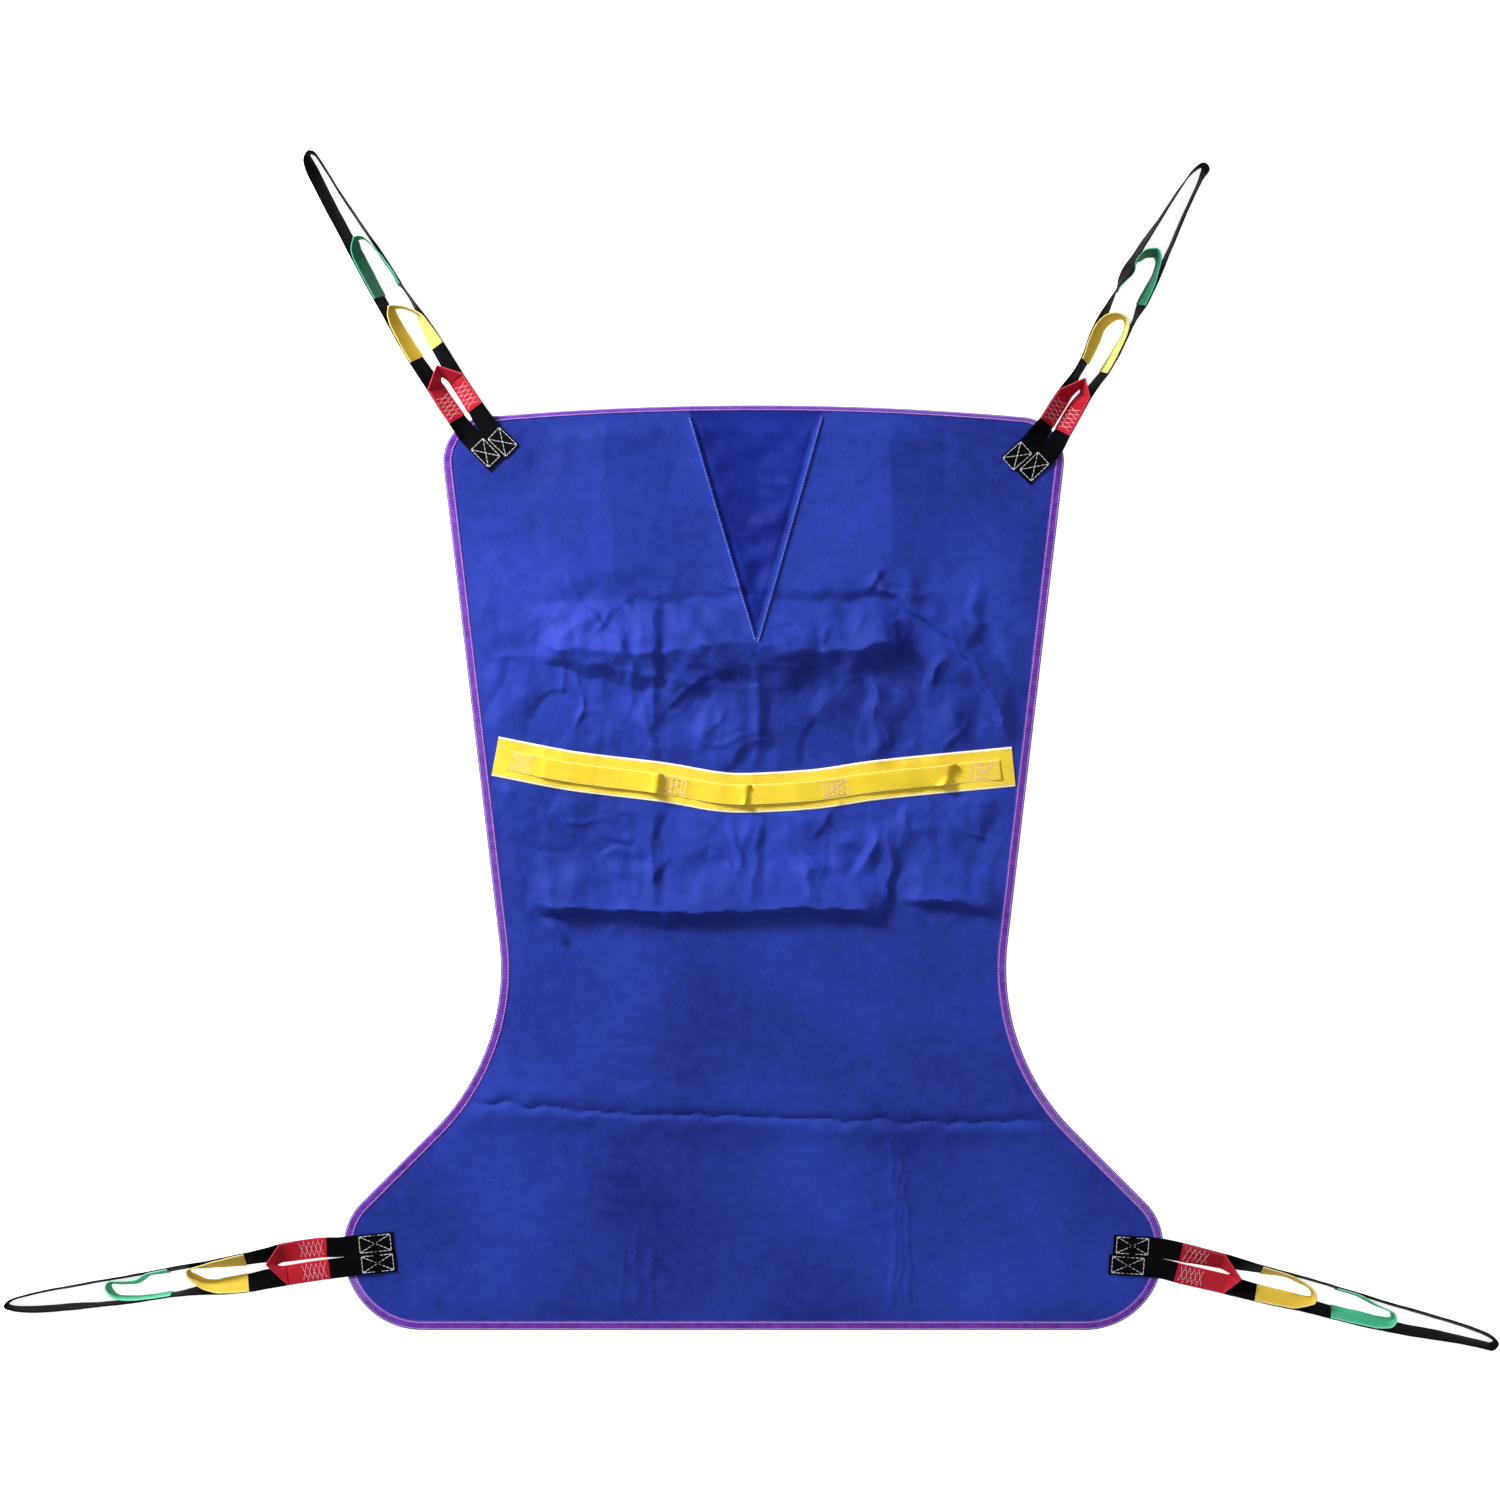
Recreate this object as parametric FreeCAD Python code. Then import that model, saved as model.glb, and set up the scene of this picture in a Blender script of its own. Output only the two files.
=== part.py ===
"""Full-body patient-lift sling, laid out flat with its handles up. Millimetres, +Z up, head towards +Y."""
import FreeCAD
import Part
import math
import os

V = FreeCAD.Vector
UP = V(0, 0, 1)

# ---- cloth, tape and webbing --------------------------------------------------------------
CLOTH = 1.0            # thickness of the body fabric
TAPE = 0.6             # thickness of the edge binding
TAPE_WIDTH = 11.5      # how far the binding reaches in over the fabric, on both faces
WEB_WIDTH = 25.0       # every strap, hook loop and handle is 25 mm webbing
BLACK_WEB = 1.8        # thickness of the black strap webbing
COLOUR_WEB = 1.6       # thickness of the red, yellow, green and handle webbing
BACKING_WIDTH = 50.0   # the handles are sewn to a 50 mm webbing
BACKING = 1.3
THREAD = 0.35          # how far a sewn thread stands up
THREAD_WIDTH = 0.9
GAP = 0.35             # clearance between pieces that move apart

CLOTH_BOTTOM = TAPE
CLOTH_TOP = CLOTH_BOTTOM + CLOTH
EDGE_TOP = CLOTH_TOP + TAPE
ANCHOR_BASE = EDGE_TOP + 0.2          # the straps' sewn ends run level with the binding's top
ANCHOR_TOP = ANCHOR_BASE + BLACK_WEB
BACKING_TOP = CLOTH_TOP + BACKING
HANDLE_TOP = BACKING_TOP + COLOUR_WEB

# ---- outline of the body: half of it, from the head end to the foot end -------------------
HEAD_Y = 430.0                 # middle of the head end, which bows out from its corners
HEAD_CORNER = (395.0, 413.0)
WAIST_CORNER = (302.0, -378.5)
HIP_CORNER = (512.5, -589.5)
FOOT_CORNER = (512.5, -726.5)
HEAD_RADIUS = 56.0
WAIST_RADIUS = 285.0
HIP_RADIUS = 76.0
FOOT_RADIUS = 98.0

# ---- the body is folded across at two places ----------------------------------------------
HEAD_FOLD = 98.0
LEG_FOLD = -460.0
FAR = 2000.0                   # larger than the sling, for cutting it up

# ---- head gusset: a triangle let into the head end ----------------------------------------
GUSSET_APEX = (4.0, 136.0)
GUSSET_HALF_TOP = 90.5
GUSSET_TOP_X = 2.5
SEAM_WIDTH = 4.5
SEAM_HEIGHT = 1.1

# ---- handles: four sewn lands along the backing, and three loops between them -------------
BACKING_LINE = [(-323, -9), (-223, -28), (-117, -41), (-17, -55), (67, -51), (154, -39), (325, -22)]
HANDLE_LANDS = [(-307, -273), (-118, -79), (82, 123), (266, 308)]
HANDLE_SHIFT = -2.0            # the handle webbing lies a little towards the foot end
HANDLE_BOW = 7.0               # how far a handle loop stands off its backing
HANDLE_GAP = 2.8               # between a land and a loop, along the backing
HANDLE_NAMES = ["left", "centre", "right"]

# ---- straps -------------------------------------------------------------------------------
# A strap is one length of webbing, doubled: leg a runs out from the body on the strap's left, turns at
# the tip and comes back as leg b. Each point is (along, across, tilt): along and across are from the
# middle of the sewn ends, and tilt is 0 where the webbing lies flat and 90 where it stands on its edge,
# outer edge up. A hook loop is sewn to both legs from start to hinge. A yellow or green one goes on along
# the legs' inner faces to follows, and then round the points of its arch. A red one is flat, with its tip
# folded over to a point.
STRAPS = {
    "shoulder_left": {
        "origin": (-311, 364), "heading": 123.0, "box": (3, 33),
        "leg_a": [(-2, 13.2, 0), (20, 17.5, 0), (45, 22.4, 0), (72, 24.3, 0), (105, 25.2, 0), (144, 25.6, 0),
                  (162, 26.2, 40), (186, 26.0, 50), (210, 25.0, 56), (250, 22.8, 58), (290, 19.6, 56),
                  (332, 15.8, 57), (388, 10.8, 57), (428, 6.4, 60), (444, 3.4, 72)],
        "tip": (451.5, -3, 90),
        "leg_b": [(444, -8.6, 90), (420, -8.2, 90), (383, -7.4, 90), (330, -8.4, 90), (285, -10.0, 90),
                  (245, -9.6, 88), (215, -9.6, 80), (192, -8.2, 66), (168, -6.4, 44), (144, -5.2, 0),
                  (105, -3.8, 0), (72, -3.6, 0), (45, -4.4, 0), (20, -8.7, 0), (1, -12.9, 0)],
        "red": {"start": 72, "hinge": 108, "corners": (122, 116), "apex": (141, 8)},
        "yellow": {"start": 162, "hinge": 186, "follows": (210, 201),
                   "arch": [(226, 18.8, 68), (232, 12, 84), (226, 2, 89), (213, -4.6, 86)]},
        "green": {"start": 252, "hinge": 276, "follows": (306, 290),
                  "arch": [(321, 12.4, 68), (329.5, 7, 84), (327, 0, 89), (318, -4.4, 90), (304, -6.4, 90)]},
    },
    "shoulder_right": {
        "origin": (326, 347), "heading": 58.9, "box": (3, 33),
        "leg_a": [(4, 11.4, 0), (20, 6.4, 0), (45, -0.4, 0), (72, -2.6, 0), (105, -3.0, 0), (146, -3.6, 0),
                  (165, -3.4, 46), (191, 0.6, 52), (215, 4.4, 60), (240, 6.6, 74), (266, 7.8, 82),
                  (288, 8.8, 79), (308, 9.4, 78), (334, 8.8, 78), (370, 7.0, 80), (405, 6.0, 78),
                  (428, 4.0, 82), (441, 0.6, 86)],
        "tip": (447.5, -4.4, 88),
        "leg_b": [(444, -9.8, 74), (428, -10.6, 84), (405, -13.4, 90), (373, -17.4, 90), (336, -22.6, 88),
                  (302, -26.4, 76), (262, -28.8, 66), (236, -30.6, 82), (212, -31.8, 78), (188, -32.8, 70),
                  (165, -33.0, 46), (146, -31.8, 0), (105, -29.6, 0), (72, -28.9, 0), (45, -26.8, 0),
                  (20, -19.9, 0), (-1, -14.2, 0)],
        "red": {"start": 72, "hinge": 108, "corners": (116, 126), "apex": (143, -15)},
        "yellow": {"start": 162, "hinge": 186, "follows": (204, 206),
                   "arch": [(221, -1.6, 62), (231, -9.6, 76), (234, -18, 86), (229, -25.4, 84),
                            (218, -28.8, 80)]},
        "green": {"start": 258, "hinge": 276, "follows": (290, 288),
                  "arch": [(306, 3.6, 80), (318, -1.6, 72), (323.5, -9.5, 70), (318, -17.6, 80),
                           (304, -22.2, 80)]},
    },
    "leg_left": {
        "origin": (-448, -628), "heading": 187.4, "box": (4, 43),
        "leg_a": [(0, 12.7, 0), (24, 12.2, 0), (52, 11.2, 0), (86, 11.2, 0), (125, 12.0, 0), (164, 13.4, 0),
                  (185, 15.0, 40), (207, 15.2, 50), (228, 15.4, 62), (250, 15.6, 76), (283, 16.6, 86),
                  (342, 18.0, 87), (375, 16.8, 86), (405, 15.4, 82), (437, 13.8, 82), (462, 11.6, 82),
                  (479, 8.0, 86)],
        "tip": (488.5, 3, 88),
        "leg_b": [(483, -1.8, 87), (466, -5.6, 86), (434, -8.6, 89), (402, -10.2, 89), (370, -11.8, 88),
                  (340, -13.0, 88), (307, -14.2, 86), (279, -15.2, 76), (250, -16.2, 74), (228, -16.2, 66),
                  (206, -15.8, 58), (185, -15.8, 46), (164, -16.6, 0), (125, -17.0, 0), (86, -17.0, 0),
                  (52, -16.4, 0), (24, -14.8, 0), (0, -12.9, 0)],
        "red": {"start": 84, "hinge": 120, "corners": (138, 142), "apex": (161, -6)},
        "yellow": {"start": 186, "hinge": 210, "follows": (222, 222),
                   "arch": [(240, 7.0, 72), (250, 0.4, 82), (256, -6.6, 86), (252, -11.4, 84),
                            (240, -12.4, 76)]},
        "green": {"start": 282, "hinge": 306, "follows": (312, 308),
                  "arch": [(334, 12.6, 85), (349, 7.4, 86), (356, 0, 88), (352, -6.0, 84), (338, -8.6, 82)]},
    },
    "leg_right": {
        "origin": (447, -632), "heading": -13.2, "box": (4, 43),
        "leg_a": [(0, 12.7, 0), (24, 16.6, 0), (52, 21.4, 0), (86, 23.4, 0), (125, 24.8, 0), (166, 25.8, 0),
                  (184, 26.4, 44), (207, 27.4, 70), (232, 28.2, 86), (258, 27.0, 88), (282, 25.4, 87),
                  (307, 24.2, 86), (330, 22.2, 85), (356, 20.6, 84), (389, 19.0, 84), (421, 17.2, 84),
                  (454, 14.6, 84), (476, 11.4, 84)],
        "tip": (491, 3.6, 87),
        "leg_b": [(485, -2.6, 74), (468, -2.6, 76), (443, -2.8, 74), (411, -4.4, 70), (380, -6.2, 66),
                  (350, -7.0, 60), (316, -6.8, 56), (284, -6.2, 57), (258, -5.4, 57), (235, -4.8, 50),
                  (207, -4.8, 44), (184, -4.4, 36), (166, -3.6, 0), (125, -3.2, 0), (86, -3.4, 0),
                  (52, -4.9, 0), (24, -9.3, 0), (0, -13.2, 0)],
        "red": {"start": 84, "hinge": 120, "corners": (137, 147), "apex": (163, 9)},
        "yellow": {"start": 186, "hinge": 210, "follows": (216, 232),
                   "arch": [(237, 21.4, 78), (250, 17.2, 84), (257, 9.8, 84), (256, 3.0, 76),
                            (246, -0.4, 64)]},
        "green": {"start": 282, "hinge": 306, "follows": (312, 340),
                  "arch": [(330, 17.2, 84), (346, 14.0, 85), (357, 8.0, 85), (359, 1.6, 76),
                           (351, -3.2, 66)]},
    },
}
DROP_START = 38.0      # this far past the stitching a strap leaves the binding and comes down to the floor
DROP_LENGTH = 28.0
STATION = 6.0          # webbing is shaped at every 6 mm along a strap
ZIGZAG_RUNS = 6        # a red loop's end is sewn down with this many slanting runs
ZIGZAG_HALF = 8.0      # and they reach this far to either side
# From the middle of the black webbing to the middle of a loop's: where it is sewn on, and beyond its hinge.
SEWN_LIFT = (BLACK_WEB + COLOUR_WEB) / 2 + 0.2
FREE_LIFT = (BLACK_WEB + COLOUR_WEB) / 2 + 0.5


# ---- small tools --------------------------------------------------------------------------
def smooth(points, step):
    """Points about step apart on a curve that passes through points and doesn't overshoot.

    Each point starts with its (x, y), and may carry more values, which are smoothed with it.
    """
    gaps = [math.dist(a[:2], b[:2]) for a, b in zip(points, points[1:])]
    rates = [[(q - p) / gap for p, q in zip(a, b)] for a, b, gap in zip(points, points[1:], gaps)]

    def slope(before, after):
        return 0.0 if before * after <= 0 else 2 * before * after / (before + after)
    inner = [[slope(p, q) for p, q in zip(a, b)] for a, b in zip(rates, rates[1:])]
    slopes = [rates[0]] + inner + [rates[-1]]
    curve = []
    for start, end, gap, leave, arrive in zip(points, points[1:], gaps, slopes, slopes[1:]):
        count = max(1, round(gap / step))
        for t in (j / count for j in range(count)):
            near, far = 2 * t**3 - 3 * t**2 + 1, 3 * t**2 - 2 * t**3
            weights = (near, far, (t**3 - 2 * t**2 + t) * gap, (t**3 - t**2) * gap)
            curve.append(tuple(sum(w * value for w, value in zip(weights, values))
                               for values in zip(start, end, leave, arrive)))
    return curve + [tuple(points[-1])]


def faceted(rings):
    """A closed solid with flat facets through rings of four corners, opposite sides split the same way."""
    faces = []
    for near, far in zip(rings, rings[1:]):
        for i, j in ((0, 1), (1, 2), (3, 2), (0, 3)):
            for corners in ((near[i], near[j], far[j]), (near[i], far[j], far[i])):
                faces.append(Part.Face(Part.makePolygon([*corners, corners[0]])))
    for ring in (rings[0], rings[-1]):
        faces.append(Part.Face(Part.makePolygon([*ring, ring[0]])))
    shell = Part.makeShell(faces)
    shell.sewShape()
    solid = Part.makeSolid(shell)
    if solid.Volume < 0:
        solid.reverse()
    return solid


def band(stations, width, thickness, lift=0.0):
    """Webbing through stations (x, y, middle height, tilt, direction), moved lift out of its inner face."""
    rings = []
    for x, y, z, tilt, direction in stations:
        along = V(math.cos(direction), math.sin(direction), 0)
        angle = math.radians(tilt)
        across = UP.cross(along) * math.cos(angle) + UP * math.sin(angle)
        face = along.cross(across)
        middle = V(x, y, z) + face * lift
        half, skin = across * (width / 2), face * (thickness / 2)
        rings.append([middle - half - skin, middle + half - skin, middle + half + skin, middle - half + skin])
    return faceted(rings)


def middle_height(base, tilt, thickness):
    """How high the middle of 25 mm webbing is when its lowest edge is at base."""
    angle = math.radians(tilt)
    return base + (WEB_WIDTH * abs(math.sin(angle)) + thickness * math.cos(angle)) / 2


def flat_band(points, base, width, thickness):
    """A flat band through plan points, lying at base."""
    stations = []
    for before, (x, y), after in zip(points[:1] + points, points, points[1:] + points[-1:]):
        direction = math.atan2(after[1] - before[1], after[0] - before[0])
        stations.append((x, y, base + thickness / 2, 0, direction))
    return band(stations, width, thickness)


def plate(points, bottom, top):
    """A flat plate between two heights, from its corners in plan."""
    corners = [V(x, y, bottom) for x, y in points]
    return Part.Face(Part.makePolygon(corners + corners[:1])).extrude(UP * (top - bottom))


def slab(low_y, high_y):
    """The whole width and height between two places along the sling."""
    return Part.makeBox(2 * FAR, high_y - low_y, 2 * FAR, V(-FAR, low_y, -FAR))


def thread(points, base, closed=False):
    """A sewn line of thread through plan points, lying on base."""
    runs = list(zip(points, points[1:] + points[:1] if closed else points[1:]))
    solid = None
    for (x0, y0), (x1, y1) in runs:
        along = V(x1 - x0, y1 - y0, 0).normalize()
        side = UP.cross(along) * (THREAD_WIDTH / 2)
        start = V(x0, y0, base) - along * (THREAD_WIDTH / 2)
        end = V(x1, y1, base) + along * (THREAD_WIDTH / 2)
        corners = [start - side, end - side, end + side, start + side]
        run = Part.Face(Part.makePolygon(corners + corners[:1])).extrude(UP * THREAD)
        solid = run if solid is None else solid.fuse(run)
    return solid.removeSplitter()


# ---- the body -----------------------------------------------------------------------------
def outline_face():
    """The body's plan, out to the edge of its binding: corners rounded, and the head end bowed out."""
    half = [HEAD_CORNER, WAIST_CORNER, HIP_CORNER, FOOT_CORNER]
    radii = [HEAD_RADIUS, WAIST_RADIUS, HIP_RADIUS, FOOT_RADIUS]
    crown = V(0, HEAD_Y, 0)
    corners = [V(x, y, 0) for x, y in half] + [V(-x, y, 0) for x, y in reversed(half)]
    ring = [crown] + corners + [crown]
    bends = []
    for before, corner, after, radius in zip(ring, corners, ring[2:], radii + radii[::-1]):
        back, on = (before - corner).normalize(), (after - corner).normalize()
        opening = back.getAngle(on) / 2
        reach = radius / math.tan(opening)
        middle = corner + (back + on).normalize() * (radius / math.sin(opening) - radius)
        bends.append((corner + back * reach, middle, corner + on * reach))
    edges = []
    for bend, following in zip(bends, bends[1:] + [None]):
        edges.append(Part.Arc(*bend).toShape())
        if following:
            edges.append(Part.makeLine(bend[2], following[0]))
    edges.append(Part.Arc(bends[-1][2], crown, bends[0][0]).toShape())
    return Part.Face(Part.Wire(edges))


def ring_between(face, outer_inset, inner_inset, bottom, top):
    """A band that follows the outline, between two insets and two heights."""
    outer = face.makeOffset2D(-outer_inset) if outer_inset else face
    ring = outer.cut(face.makeOffset2D(-inner_inset))
    return ring.translated(UP * bottom).extrude(UP * (top - bottom))


def gusset_top(side):
    """A top corner of the gusset's triangle, carried a little past the head end."""
    return (GUSSET_TOP_X + side * GUSSET_HALF_TOP, HEAD_Y + 20)


def body_nodes():
    """The fabric, its binding and the binding's two rows of stitching, each cut at the two folds."""
    face = outline_face()
    cloth = face.makeOffset2D(-TAPE).translated(UP * CLOTH_BOTTOM).extrude(UP * CLOTH)
    binding = ring_between(face, 0, TAPE_WIDTH, 0, EDGE_TOP).cut(cloth)
    rows = [ring_between(face, inset, inset + THREAD_WIDTH, EDGE_TOP, EDGE_TOP + THREAD * 0.5)
            for inset in (1.6, TAPE_WIDTH - 2.2)]
    gusset = plate([GUSSET_APEX, gusset_top(1), gusset_top(-1)], CLOTH_BOTTOM, CLOTH_TOP).common(cloth)
    sections = {"head": slab(HEAD_FOLD + GAP / 2, FAR), "back": slab(LEG_FOLD + GAP / 2, HEAD_FOLD - GAP / 2),
                "leg": slab(-FAR, LEG_FOLD - GAP / 2)}
    nodes = {}
    for name, space in sections.items():
        nodes[name + "_panel"] = cloth.common(space)
        nodes[name + "_binding"] = binding.common(space)
        stitching = [solid for row in rows for solid in row.common(space).Solids]
        nodes[name + "_binding_stitching"] = Part.makeCompound(stitching)
    nodes["head_panel"] = nodes["head_panel"].cut(gusset)
    nodes["head_gusset"] = gusset
    nodes.update(gusset_seams())
    return nodes


def gusset_seams():
    """The two lapped seams that hold the gusset, and their stitching with the bar tack at the point."""
    seams, lines = [], []
    apex_x, apex_y = GUSSET_APEX
    for side in (-1, 1):
        top = gusset_top(side)
        run = V(top[0] - apex_x, top[1] - apex_y, 0).normalize()
        out = V(side * abs(run.y), -side * run.x, 0)
        start = V(apex_x, apex_y, 0) + run * 6
        length = (HEAD_Y - TAPE_WIDTH - 4 - start.y) / run.y
        end = start + run * length
        ridge = [start, end, end + out * SEAM_WIDTH, start + out * SEAM_WIDTH]
        seams.append(plate([(p.x, p.y) for p in ridge], CLOTH_TOP, CLOTH_TOP + SEAM_HEIGHT))
        middle = out * (SEAM_WIDTH / 2)
        lines.append(thread([((start + middle).x, (start + middle).y), ((end + middle).x, (end + middle).y)],
                            CLOTH_TOP + SEAM_HEIGHT))
    tack = plate([(apex_x - 2.5, apex_y - 3), (apex_x + 2.5, apex_y - 3), (apex_x + 2.5, apex_y + 2),
                  (apex_x - 2.5, apex_y + 2)], CLOTH_TOP, CLOTH_TOP + 1.2)
    return {"gusset_seam_left": seams[0], "gusset_seam_right": seams[1],
            "gusset_stitching": Part.makeCompound(lines + [tack])}


# ---- handles ------------------------------------------------------------------------------
def backing_line(low=None, high=None, shift=0.0):
    """Points along the middle of the handle backing between two x places."""
    line = smooth(BACKING_LINE, 6)
    low, high = (line[0][0] if low is None else low), (line[-1][0] if high is None else high)
    inner = [p for p in line if low + 1 < p[0] < high - 1]

    def at(x):
        near = next(i for i in range(1, len(line)) if line[i][0] >= x - 1e-6)
        (x0, y0), (x1, y1) = line[near - 1], line[near]
        return (x, y0 + (y1 - y0) * (x - x0) / (x1 - x0))
    return [(x, y + shift) for x, y in [at(low)] + inner + [at(high)]]


def bowed_band(line):
    """A handle loop: webbing along line that stands off its backing in the middle."""
    (low, _), (high, _) = line[0], line[-1]
    rings = []
    for x, y in line:
        height = BACKING_TOP + GAP + HANDLE_BOW * math.sin(math.pi * (x - low) / (high - low))
        left = V(x, y - WEB_WIDTH / 2, height)
        right = V(x, y + WEB_WIDTH / 2, height)
        rings.append([left, right, right + UP * COLOUR_WEB, left + UP * COLOUR_WEB])
    return faceted(rings)


def handle_nodes():
    nodes = {"handle_backing": flat_band(backing_line(), CLOTH_TOP, BACKING_WIDTH, BACKING)}
    lands, boxes, rows = [], [], []
    for low, high in HANDLE_LANDS:
        line = backing_line(low, high, HANDLE_SHIFT)
        lands.append(flat_band(line, BACKING_TOP, WEB_WIDTH, COLOUR_WEB))
        (x0, y0), (x1, y1) = line[0], line[-1]
        x0, x1, half = x0 + 4, x1 - 4, WEB_WIDTH / 2 - 3.5
        corners = [(x0, y0 - half), (x1, y1 - half), (x1, y1 + half), (x0, y0 + half)]
        boxes.append(thread(corners, HANDLE_TOP, closed=True))
    for side in (-1, 1):
        row = backing_line(shift=side * (BACKING_WIDTH / 2 - 2.5))
        rows.append(flat_band(row, BACKING_TOP, THREAD_WIDTH, THREAD))
    nodes["handle_backing_stitching"] = Part.makeCompound(rows)
    nodes["handle_lands"] = Part.makeCompound(lands)
    nodes["handle_box_stitching"] = Part.makeCompound(boxes)
    for name, before, after in zip(HANDLE_NAMES, HANDLE_LANDS, HANDLE_LANDS[1:]):
        low, high = before[1] + HANDLE_GAP, after[0] - HANDLE_GAP
        nodes["handle_loop_" + name] = bowed_band(backing_line(low, high, HANDLE_SHIFT))
    return nodes


# ---- straps -------------------------------------------------------------------------------
def placed(strap, u, v):
    """A point of a strap's own plan, in the sling's."""
    angle = math.radians(strap["heading"])
    x, y = strap["origin"]
    return (x + u * math.cos(angle) - v * math.sin(angle), y + u * math.sin(angle) + v * math.cos(angle))


def ease(share):
    share = min(1.0, max(0.0, share))
    return share * share * (3 - 2 * share)


def strap_hinge(strap):
    return strap["box"][1] + 3


def base_at(strap, u):
    """The height a strap lies at: level over the binding, then down on the floor."""
    return ANCHOR_BASE * (1 - ease((u - strap["box"][1] - DROP_START) / DROP_LENGTH))


def leg_at(strap, leg, u):
    """The (v, tilt, direction) of one leg at a distance along; direction is in the leg's own travel."""
    points = strap["leg_a"] + [strap["tip"]] if leg == "a" else [strap["tip"]] + strap["leg_b"]
    line = smooth(points, 2.0)
    for before, after in zip(line, line[1:]):
        low, high = sorted((before, after))
        if low[0] <= u <= high[0] and high[0] > low[0]:
            share = (u - low[0]) / (high[0] - low[0])
            turn = math.atan2(after[1] - before[1], after[0] - before[0])
            return low[1] + (high[1] - low[1]) * share, low[2] + (high[2] - low[2]) * share, turn
    end = line[0] if leg == "a" else line[-1]
    return end[1], end[2], 0.0 if leg == "a" else math.pi


def leg_stations(strap, leg, low, high, clear=0.0, base=None, thickness=BLACK_WEB):
    """The middle of the black webbing on one leg, in its own travel, at every STATION between low and high.
    Its ends are square to the strap. With clear, it is moved in to stay clear of the leg that far ahead."""
    first = math.floor(low / STATION + 1.2)
    inner = [STATION * i for i in range(first, math.ceil(high / STATION - 0.2))]
    side = 1 if leg == "a" else -1
    stations = []
    for u in [low] + inner + [high]:
        v, tilt, turn = leg_at(strap, leg, u)
        ahead = [leg_at(strap, leg, u + clear * share)[0] for share in (0, 0.25, 0.5, 0.75, 1)]
        v = side * min(side * value for value in ahead)
        z = middle_height(base_at(strap, u) if base is None else base, tilt, thickness)
        square = u in (low, high)
        turn = (0.0 if leg == "a" else math.pi) if square else turn
        stations.append((*placed(strap, u, v), z, tilt, turn + math.radians(strap["heading"])))
    return stations if leg == "a" else stations[::-1]


def free_strap(strap):
    """The black webbing beyond its hinge: out along leg a, round the tip and back along leg b."""
    start = strap_hinge(strap) + GAP / 2
    turn = min(strap["leg_a"][-1][0], strap["leg_b"][0][0]) - 3
    out = leg_stations(strap, "a", start, turn)
    back = leg_stations(strap, "b", start, turn)
    bend = smooth(strap["leg_a"][-2:] + [strap["tip"]] + strap["leg_b"][:2], 3.0)
    stations = []
    for before, (u, v, tilt), after in zip(bend, bend[1:], bend[2:]):
        if u > turn + 2:
            direction = math.atan2(after[1] - before[1], after[0] - before[0])
            direction += math.radians(strap["heading"])
            stations.append((*placed(strap, u, v), middle_height(0, tilt, BLACK_WEB), tilt, direction))
    return band(out + stations + back, WEB_WIDTH, BLACK_WEB)


def loop_ends(strap, loop):
    """The two sewn ends of a hook loop."""
    ends = []
    for leg in "ab":
        stations = leg_stations(strap, leg, loop["start"], loop["hinge"] - GAP / 2)
        ends.append(band(stations, WEB_WIDTH, COLOUR_WEB, SEWN_LIFT))
    return Part.makeCompound(ends)


def free_loop(strap, loop):
    """A yellow or green hook loop beyond its hinge: out along leg a, across, and back along leg b."""
    start = loop["hinge"] + GAP / 2
    parts = []
    for leg, reach in zip("ab", loop["follows"]):
        moved = []
        for x, y, z, tilt, direction in leg_stations(strap, leg, start, reach, clear=WEB_WIDTH):
            angle = math.radians(tilt)
            sideways = math.sin(angle) * FREE_LIFT
            moved.append((x + math.sin(direction) * sideways, y - math.cos(direction) * sideways,
                          z + math.cos(angle) * FREE_LIFT, tilt, direction))
        parts.append(moved)
    out, back = parts
    arch = [(*placed(strap, u, v), middle_height(0, tilt, COLOUR_WEB), tilt) for u, v, tilt in loop["arch"]]
    bend = smooth([out[-2][:4], out[-1][:4]] + arch + [back[0][:4], back[1][:4]], 4.0)
    middle = []
    for before, (x, y, z, tilt), after in zip(bend, bend[1:], bend[2:]):
        height = max(z, middle_height(0, tilt, COLOUR_WEB))
        middle.append((x, y, height, tilt, math.atan2(after[1] - before[1], after[0] - before[0])))
    return band(out[:-1] + middle + back[1:], WEB_WIDTH, COLOUR_WEB)


def folded_loop(strap, loop):
    """The red hook loop beyond its hinge: two flat legs, and the tip folded across them to a point."""
    start = loop["hinge"] + GAP / 2
    half = WEB_WIDTH / 2
    bottom = BLACK_WEB + GAP

    def edge(leg, u, shift):
        return placed(strap, u, leg_at(strap, leg, u)[0] + shift)
    reach_a, reach_b = loop["corners"]
    corner_a, corner_b = edge("a", reach_a, half), edge("b", reach_b, -half)
    inner_a, inner_b = edge("a", reach_a - 3, -half), edge("b", reach_b - 3, half)
    apex = placed(strap, *loop["apex"])
    leg_a = [edge("a", start, half), corner_a, inner_a, edge("a", start, -half)]
    leg_b = [edge("b", start, half), inner_b, corner_b, edge("b", start, -half)]
    roof = [corner_a, apex, corner_b, inner_b, inner_a]
    legs = plate(leg_a, bottom, bottom + COLOUR_WEB).fuse(plate(leg_b, bottom, bottom + COLOUR_WEB))
    return legs.fuse(plate(roof, bottom, bottom + 2 * COLOUR_WEB)).removeSplitter()


def cross_box(strap, leg):
    """A box of stitching with a cross in it, on one sewn end of the strap."""
    low, high = strap["box"]
    half = WEB_WIDTH / 2 - 2.5
    near, far = leg_at(strap, leg, low)[0], leg_at(strap, leg, high)[0]
    corners = [placed(strap, low, near - half), placed(strap, high, far - half),
               placed(strap, high, far + half), placed(strap, low, near + half)]
    frame = thread(corners, ANCHOR_TOP, closed=True)
    for a, b in ((0, 2), (1, 3)):
        frame = frame.fuse(thread([corners[a], corners[b]], ANCHOR_TOP))
    return frame.removeSplitter()


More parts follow.
